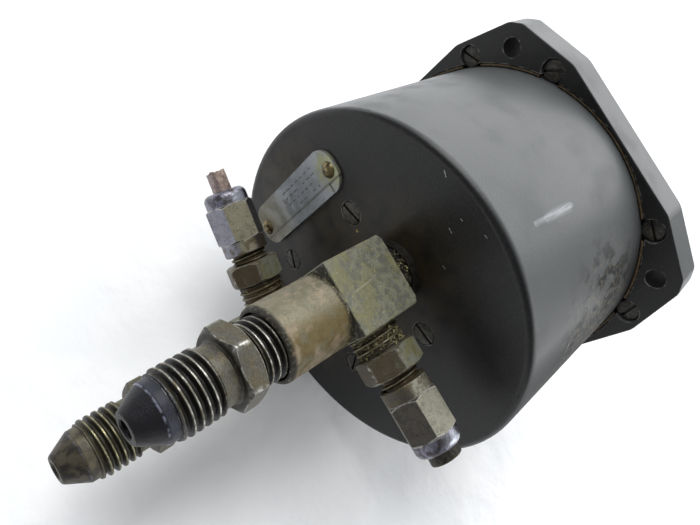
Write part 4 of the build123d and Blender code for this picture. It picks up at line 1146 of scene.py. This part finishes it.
def seal_paths():
    """Eight arcs round the barrel that stop short of the screw heads."""
    points, lines = [], []
    gap = 3.8
    edges_at = [(a + gap, b - gap) for a, b in zip(flange_screw_angles, flange_screw_angles[1:] + (390,))]
    for begin, end in edges_at:
        count = max(4, round((end - begin) / 1.2))
        for index in range(count + 1):
            turn = math.radians(begin + (end - begin) * index / count)
            points.append(about_y(seal_circle, seal_height, turn))
            if index:
                lines.append((len(points) - 2, len(points) - 1))
    return plain_mesh("case_seal_bead", points, [], lines)


bead = Grower("seal_bead", Thickness=float, Lumps=float, Finish=bpy.types.Material)
path = bead.get("GeometryNodeMeshToCurve", {0: bead.given["Geometry"]})
inputs = {"Resolution": 8, "Radius": bead.given["Thickness"]}
ring = bead.get("GeometryNodeCurvePrimitiveCircle", inputs)
swept = bead.get("GeometryNodeCurveToMesh", {0: path, "Profile Curve": ring, "Fill Caps": True})
lump = bead.get("ShaderNodeTexNoise", {"Scale": 0.55, "Detail": 3.0})
swell = bead.sum("MULTIPLY", bead.sum("SUBTRACT", lump, 0.5), bead.given["Lumps"])
normal = bead.get("GeometryNodeInputNormal")
offset = bead.vector("SCALE", normal, swell)
lumpy = bead.get("GeometryNodeSetPosition", {0: swept, "Offset": offset})
bead.close(lumpy, bead.given["Finish"])

sealant = Finish("sealant", roughness=0.7)
crust = sealant.clouds(0.8, 0.35, 0.65, detail=4.0)
sealant.raise_by(crust, 0.05)
sealant_finish = sealant.done(sealant.mix(crust, (62, 50, 34), (96, 80, 54)))
seal = grow(seal_paths(), bead.tree, Thickness=0.33, Lumps=0.35, Finish=sealant_finish)
settle(seal, to_metres)
piece(seal, "case_body", "sealant", "case_seal")

# %% [markdown]
# Gritty crumbs of dried dirt cling to the adapter necks, the locknuts and the step of the
# upper tee. They are scattered by a tree: points on a thin band round each place, with a small
# faceted lump on each, every band from its own fixed seed.

# %% Dried grit
crumbs = Grower("dried_grit", Density=float, Size=float, Seed=int, Finish=bpy.types.Material)
inputs = {0: crumbs.given["Geometry"], "Density": crumbs.given["Density"], "Seed": crumbs.given["Seed"]}
scattered = crumbs.add("GeometryNodeDistributePointsOnFaces", inputs, distribute_method="RANDOM")
lump = crumbs.get("GeometryNodeMeshIcoSphere", {"Radius": crumbs.given["Size"], "Subdivisions": 1})
turns = crumbs.joined(crumbs.random(0.0, 6.0, 3), crumbs.random(0.0, 6.0, 4), crumbs.random(0.0, 6.0, 5))
scale = crumbs.joined(crumbs.random(0.4, 1.5, 6), crumbs.random(0.4, 1.2, 7), crumbs.random(0.4, 1.5, 8))
rotation = crumbs.get("FunctionNodeEulerToRotation", {0: turns})
inputs = {"Points": scattered.outputs[0], "Instance": lump, "Rotation": rotation, "Scale": scale}
clinging = crumbs.get("GeometryNodeInstanceOnPoints", inputs)
crumbs.close(clinging, crumbs.given["Finish"])

grit = Finish("grit", roughness=0.8)
grit_tone = grit.clouds(0.6, 0.4, 0.6, detail=3.0)
grit.colour = grit.mix(grit_tone, (96, 92, 62), (150, 144, 104))
grit.lay((52, 46, 34), grit.clouds(1.4, 0.5, 0.6, shift=5))
grit_finish = grit.done()


def dirty_band(name, radius, front, back, place, density, size, seed):
    """Grit on a band round an axis along Y."""
    steps = 48
    points, faces = [], []
    for index in range(steps + 1):
        turn = math.radians(360 * index / steps)
        points += [about_y(radius, y, turn) for y in (front, back)]
        if index:
            here = 2 * index
            faces.append((here - 2, here - 1, here + 1, here))
    made = plain_mesh(name, points, faces)
    grow(made, crumbs.tree, Density=density, Size=size, Seed=seed, Finish=grit_finish)
    settle(made, place, smooth_to=20)
    piece(made, "case_body", "adapter_dirty")


upper_port = to_metres @ Matrix.Translation((port_x, 0, upper_port_z))
lower_port = to_metres @ Matrix.Translation((port_x, 0, lower_port_z))
grit_bands = [
    ("upper_neck", 4.7, 7.6, 11.7, to_upper_branch, 7.0, 0.17, 11),
    ("lower_neck", 4.6, 7.6, 13.9, to_lower_branch, 2.0, 0.15, 12),
    ("upper_locknut", 6.4, 52.4, 55.4, upper_port, 3.0, 0.2, 13),
    ("lower_locknut", 6.4, 52.4, 55.4, lower_port, 3.0, 0.2, 14),
    ("upper_step", 7.35, 70.3, 70.9, upper_port, 5.0, 0.14, 15),
    ("lower_step", 7.35, 70.3, 70.9, lower_port, 4.0, 0.14, 16),
]
for name, *sizes in grit_bands:
    dirty_band("grit_" + name, *sizes)

# %% [markdown]
# Under the tees sit a washer and a locknut for each port, black with oil. They are seen only
# as a dark ring with lumps in it, so one greasy finish does for both, with the hexagon's edges
# a little brighter.

# %% Washers and locknuts


def greasy(name, base, glint, shift):
    """Oily metal with a faint glint on its edges."""
    made = Finish(name, shift, roughness=0.55, metallic=0.35)
    film = made.clouds(1.2, 0.38, 0.6, detail=5.0)
    made.colour = made.mix(film, base, (20, 18, 15))
    worn = made.patchy(made.edges(0.4), 1.0, 0.45, 0.6)
    made.lay(glint, worn, 0.4)
    made.raise_by(film, 0.06)
    return made.done()


dress("port_washers", greasy("washer_dark", (34, 31, 26), (70, 66, 54), 0.0))
dress("port_locknuts", greasy("locknut_steel", (52, 48, 36), (104, 100, 78), 5.0))
print("washers and locknuts greased")

# %% [markdown]
# The nameplate is thin aluminium with rounded ends, held by two domed rivets and folded up
# along its inner edge. Its face carries rows of short plain dashes. A tree places one dash on
# each point of a grid, leaves some out and varies their length, all from a fixed seed.

# %% Nameplate
plate_face = 51.3
plate = Finish("plate_aluminium", roughness=0.42, metallic=0.55)
haze = plate.clouds(3.0, 0.4, 0.62, detail=5.0)
brushed = plate.clouds(0.5, 0.35, 0.7, detail=3.0, stretch=(0.3, 1, 4))
plate.colour = plate.mix(haze, (144, 149, 154), (126, 130, 132))
plate.lay((162, 165, 165), brushed, 0.2)
for z, tone in ((11.4, (150, 150, 110)), (-17.7, (92, 80, 52))):
    ring = plate.near((25.2, plate_face, z), 2.2, 5.2)
    ring = plate.patchy(ring, 1.6, 0.3, 0.55, shift=z)
    plate.lay(tone, ring, 0.85)
foot = plate.both(plate.ramp(plate.axis("Z"), -4.0, -12.0), 0.75)
plate.lay((104, 100, 82), foot)
plate_x = plate.axis("X")
fold = plate.both(plate.ramp(plate_x, 23.3, 22.85), plate.ramp(plate_x, 22.4, 22.8))
plate.lay((70, 62, 52), fold, 0.8)
# Corners are darkened brown: grime and painted shade.
plate_corner_grime_and_shade = plate.both(plate.corners(1.4, 0.3, 0.7), 0.85)
plate.lay((40, 34, 26), plate_corner_grime_and_shade)
plate_edges = plate.patchy(plate.edges(0.3), 1.5, 0.4, 0.6, shift=2)
plate.lay((176, 178, 170), plate_edges, 0.6)
plate.raise_by(brushed, 0.01)
plate.raise_by(haze, 0.03)
dress("nameplate", plate.done(roughness=plate.level(haze, 0.36, 0.55)))

stamp = Grower("stamped_rows", Length=float, Seed=int, Finish=bpy.types.Material)
dash = stamp.get("GeometryNodeMeshCube", {"Size": stamp.joined(0.24, 0.05, stamp.given["Length"])})
inputs = {"Probability": 0.8, "Seed": stamp.given["Seed"]}
keep_some = stamp.add("FunctionNodeRandomValue", inputs, data_type="BOOLEAN").outputs[3]
stretch = stamp.joined(1.0, 1.0, stamp.random(0.45, 1.25, 2))
inputs = {"Points": stamp.given["Geometry"], "Selection": keep_some, "Instance": dash, "Scale": stretch}
dashes = stamp.get("GeometryNodeInstanceOnPoints", inputs)
stamp.close(dashes, stamp.given["Finish"])

dash_rows, dash_columns = 7, 4
dash_step_x, dash_step_z = 1.42, 1.95
stamp_points = []
for row in range(dash_rows):
    for column in range(dash_columns):
        stamp_points.append((24.1 + column * dash_step_x, plate_face, 6.4 - row * dash_step_z))
stamp_ink = Finish("stamp_ink", roughness=0.7)
ink_tone = stamp_ink.clouds(0.7, 0.4, 0.6)
stamp_finish = stamp_ink.done(stamp_ink.mix(ink_tone, (72, 76, 80), (92, 94, 90)))
marks = plain_mesh("nameplate_dashes", stamp_points, [])
grow(marks, stamp.tree, Length=1.3, Seed=5, Finish=stamp_finish)
settle(marks, to_metres)
piece(marks, "case_body", "plate_aluminium")

rivet = Finish("rivet_brass", roughness=0.3, metallic=0.8)
oil = rivet.clouds(0.9, 0.4, 0.62, detail=4.0)
rivet.colour = rivet.mix(oil, (122, 110, 78), (66, 54, 42))
# Painted shade: the rivet is laid near black where other surfaces crowd in.
rivet.lay((22, 18, 14), rivet.corners(0.9, 0.3, 0.7))
rivet.raise_by(oil, 0.03)
dress("nameplate_rivets", rivet.done())

# %% [markdown]
# The front of the instrument, which the photo hides: a black dial behind glass with two
# scales, white marks and two pointers. Torque gauges of this kind show both systems side by
# side, so each scale gets plain figures from 0 to 10. They are text turned into a mesh first,
# and only then put in their places.

# %% Dial figures
dial_front, figure_radius = 0.97, 16.3
scale_centre_x, scale_centre_z = 10.0, -3.0
first_angle, last_angle, figure_count = 235.0, 125.0, 6


def lettering(text, size):
    """A word as a thin mesh, centred on the origin and facing the dial side."""
    data = bpy.data.curves.new("figure", "FONT")
    data.body = text
    data.size = size
    data.extrude = 0.02
    data.align_x = "CENTER"
    data.align_y = "CENTER"
    made = bpy.data.objects.new("figure", data)
    bpy.context.collection.objects.link(made)
    graph = bpy.context.evaluated_depsgraph_get()
    mesh = bpy.data.meshes.new_from_object(made.evaluated_get(graph), depsgraph=graph)
    mesh.transform(Matrix.Rotation(math.radians(90), 4, "X"))
    bpy.data.objects.remove(made)
    return mesh


def joined_meshes(name, meshes):
    """Several meshes as one new object at the origin."""
    skin = bmesh.new()
    for mesh in meshes:
        skin.from_mesh(mesh)
    bmesh.ops.remove_doubles(skin, verts=skin.verts, dist=1e-6)
    bmesh.ops.recalc_face_normals(skin, faces=skin.faces)
    made = plain_mesh(name, [], [])
    skin.to_mesh(made.data)
    skin.free()
    return made


figures = []
for side in (-1, 1):
    for index in range(figure_count):
        turn = math.radians(first_angle + (last_angle - first_angle) * index / (figure_count - 1))
        across = scale_centre_x + figure_radius * -math.cos(turn)
        up = scale_centre_z + figure_radius * math.sin(turn)
        mesh = lettering(str(2 * index), 3.0)
        mesh.transform(Matrix.Translation((side * across, dial_front, up)))
        figures.append(mesh)
heading = lettering("TORQUE", 3.2)
heading.transform(Matrix.Translation((0, dial_front, 24.5)))
figures.append(heading)
dial_figures = joined_meshes("dial_figures", figures)
dial_figures.data.transform(to_metres)


def flat_paint(name, colour, other, roughness):
    """Matt paint in two close tones."""
    made = Finish(name, roughness=roughness)
    tone = made.clouds(0.8, 0.35, 0.7, detail=3.0)
    return made.done(made.mix(made.both(tone, 0.6), colour, other))


mark_paint = flat_paint("mark_paint", (222, 220, 206), (192, 188, 168), 0.55)
dial_figures.data.materials.append(mark_paint)
piece(dial_figures, "case_body", "mark_paint")
dress("scale_marks", mark_paint)
dress("dial", flat_paint("dial_paint", (26, 26, 27), (36, 36, 37), 0.75))
cream_paint = flat_paint("pointer_paint", (228, 224, 204), (206, 200, 176), 0.5)
dress("pointer_left pointer_right", cream_paint)
print("dial has", figure_count, "figures on each scale")

# %% [markdown]
# Glass, gaskets and the works inside are mostly hidden, but they are there when the case is
# opened or seen through the window. Brass plates are brushed, steel arbors are bright, and the
# Bourdon tubes and hairsprings are a warmer spring bronze.

# %% Glass, gaskets and movement


def clean_metal(name, colour, other, roughness, stretch):
    """Brushed metal that has only dulled a little."""
    made = Finish(name, roughness=roughness, metallic=1.0)
    brushed = made.clouds(0.6, 0.35, 0.68, detail=3.0, stretch=stretch)
    dull = made.clouds(3.5, 0.45, 0.6, detail=4.0, shift=2)
    made.colour = made.mix(brushed, colour, other)
    made.lay((120, 102, 66), dull, 0.35)
    made.raise_by(brushed, 0.006)
    return made.done(roughness=made.level(dull, roughness, roughness + 0.15))


movement_metals = {
    "movement_brass": ((198, 166, 96), (176, 144, 80), 0.3, (3, 1, 0.3)),
    "movement_steel": ((180, 182, 186), (150, 152, 156), 0.25, (1, 0.3, 1)),
    "spring_bronze": ((190, 140, 92), (166, 118, 74), 0.32, (1, 1, 1)),
    "socket_brass": ((178, 150, 90), (150, 126, 76), 0.42, (1, 3, 1)),
}
metal = {name: clean_metal(name, *looks) for name, looks in movement_metals.items()}
dress("bourdon_tip_left bourdon_tip_right front_plate back_plate plate_pillars", metal["movement_brass"])
dress("movement_stand_offs sector_left sector_right spring_studs dial_feet", metal["movement_brass"])
dress("movement_screws sector_arbor_left sector_arbor_right staff_left staff_right", metal["movement_steel"])
dress("link_left link_right", metal["movement_steel"])
dress("bourdon_tube_left bourdon_tube_right hairspring_left hairspring_right", metal["spring_bronze"])
dress("socket_block", metal["socket_brass"])
dress("dial_screws", screw_black("screw_black_dial", 4.0))
dress("glass_gaskets", flat_paint("gasket_rubber", (30, 29, 28), (48, 46, 42), 0.8))

window = Finish("window_glass", roughness=0.03, Transmission_Weight=1.0, IOR=1.5)
film = window.clouds(6.0, 0.45, 0.7, detail=4.0)
dress("glass", window.done((0.98, 0.99, 0.99, 1), roughness=window.level(film, 0.02, 0.09)))

# %% [markdown]
# Last, the model's box is printed, to set against the CAD's box printed at the start, and
# every CAD node still shown is checked for having a material at all.

# %% Print the box and find nodes without a material
plain_nodes = [name for name, made in nodes.items() if not made.hide_render and not made.data.materials]
bpy.context.view_layer.update()
shown_low, shown_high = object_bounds()
shown_size = [round(v / MM, 1) for v in shown_high - shown_low]
print("nodes without a finish:", plain_nodes, "visual box", shown_size)
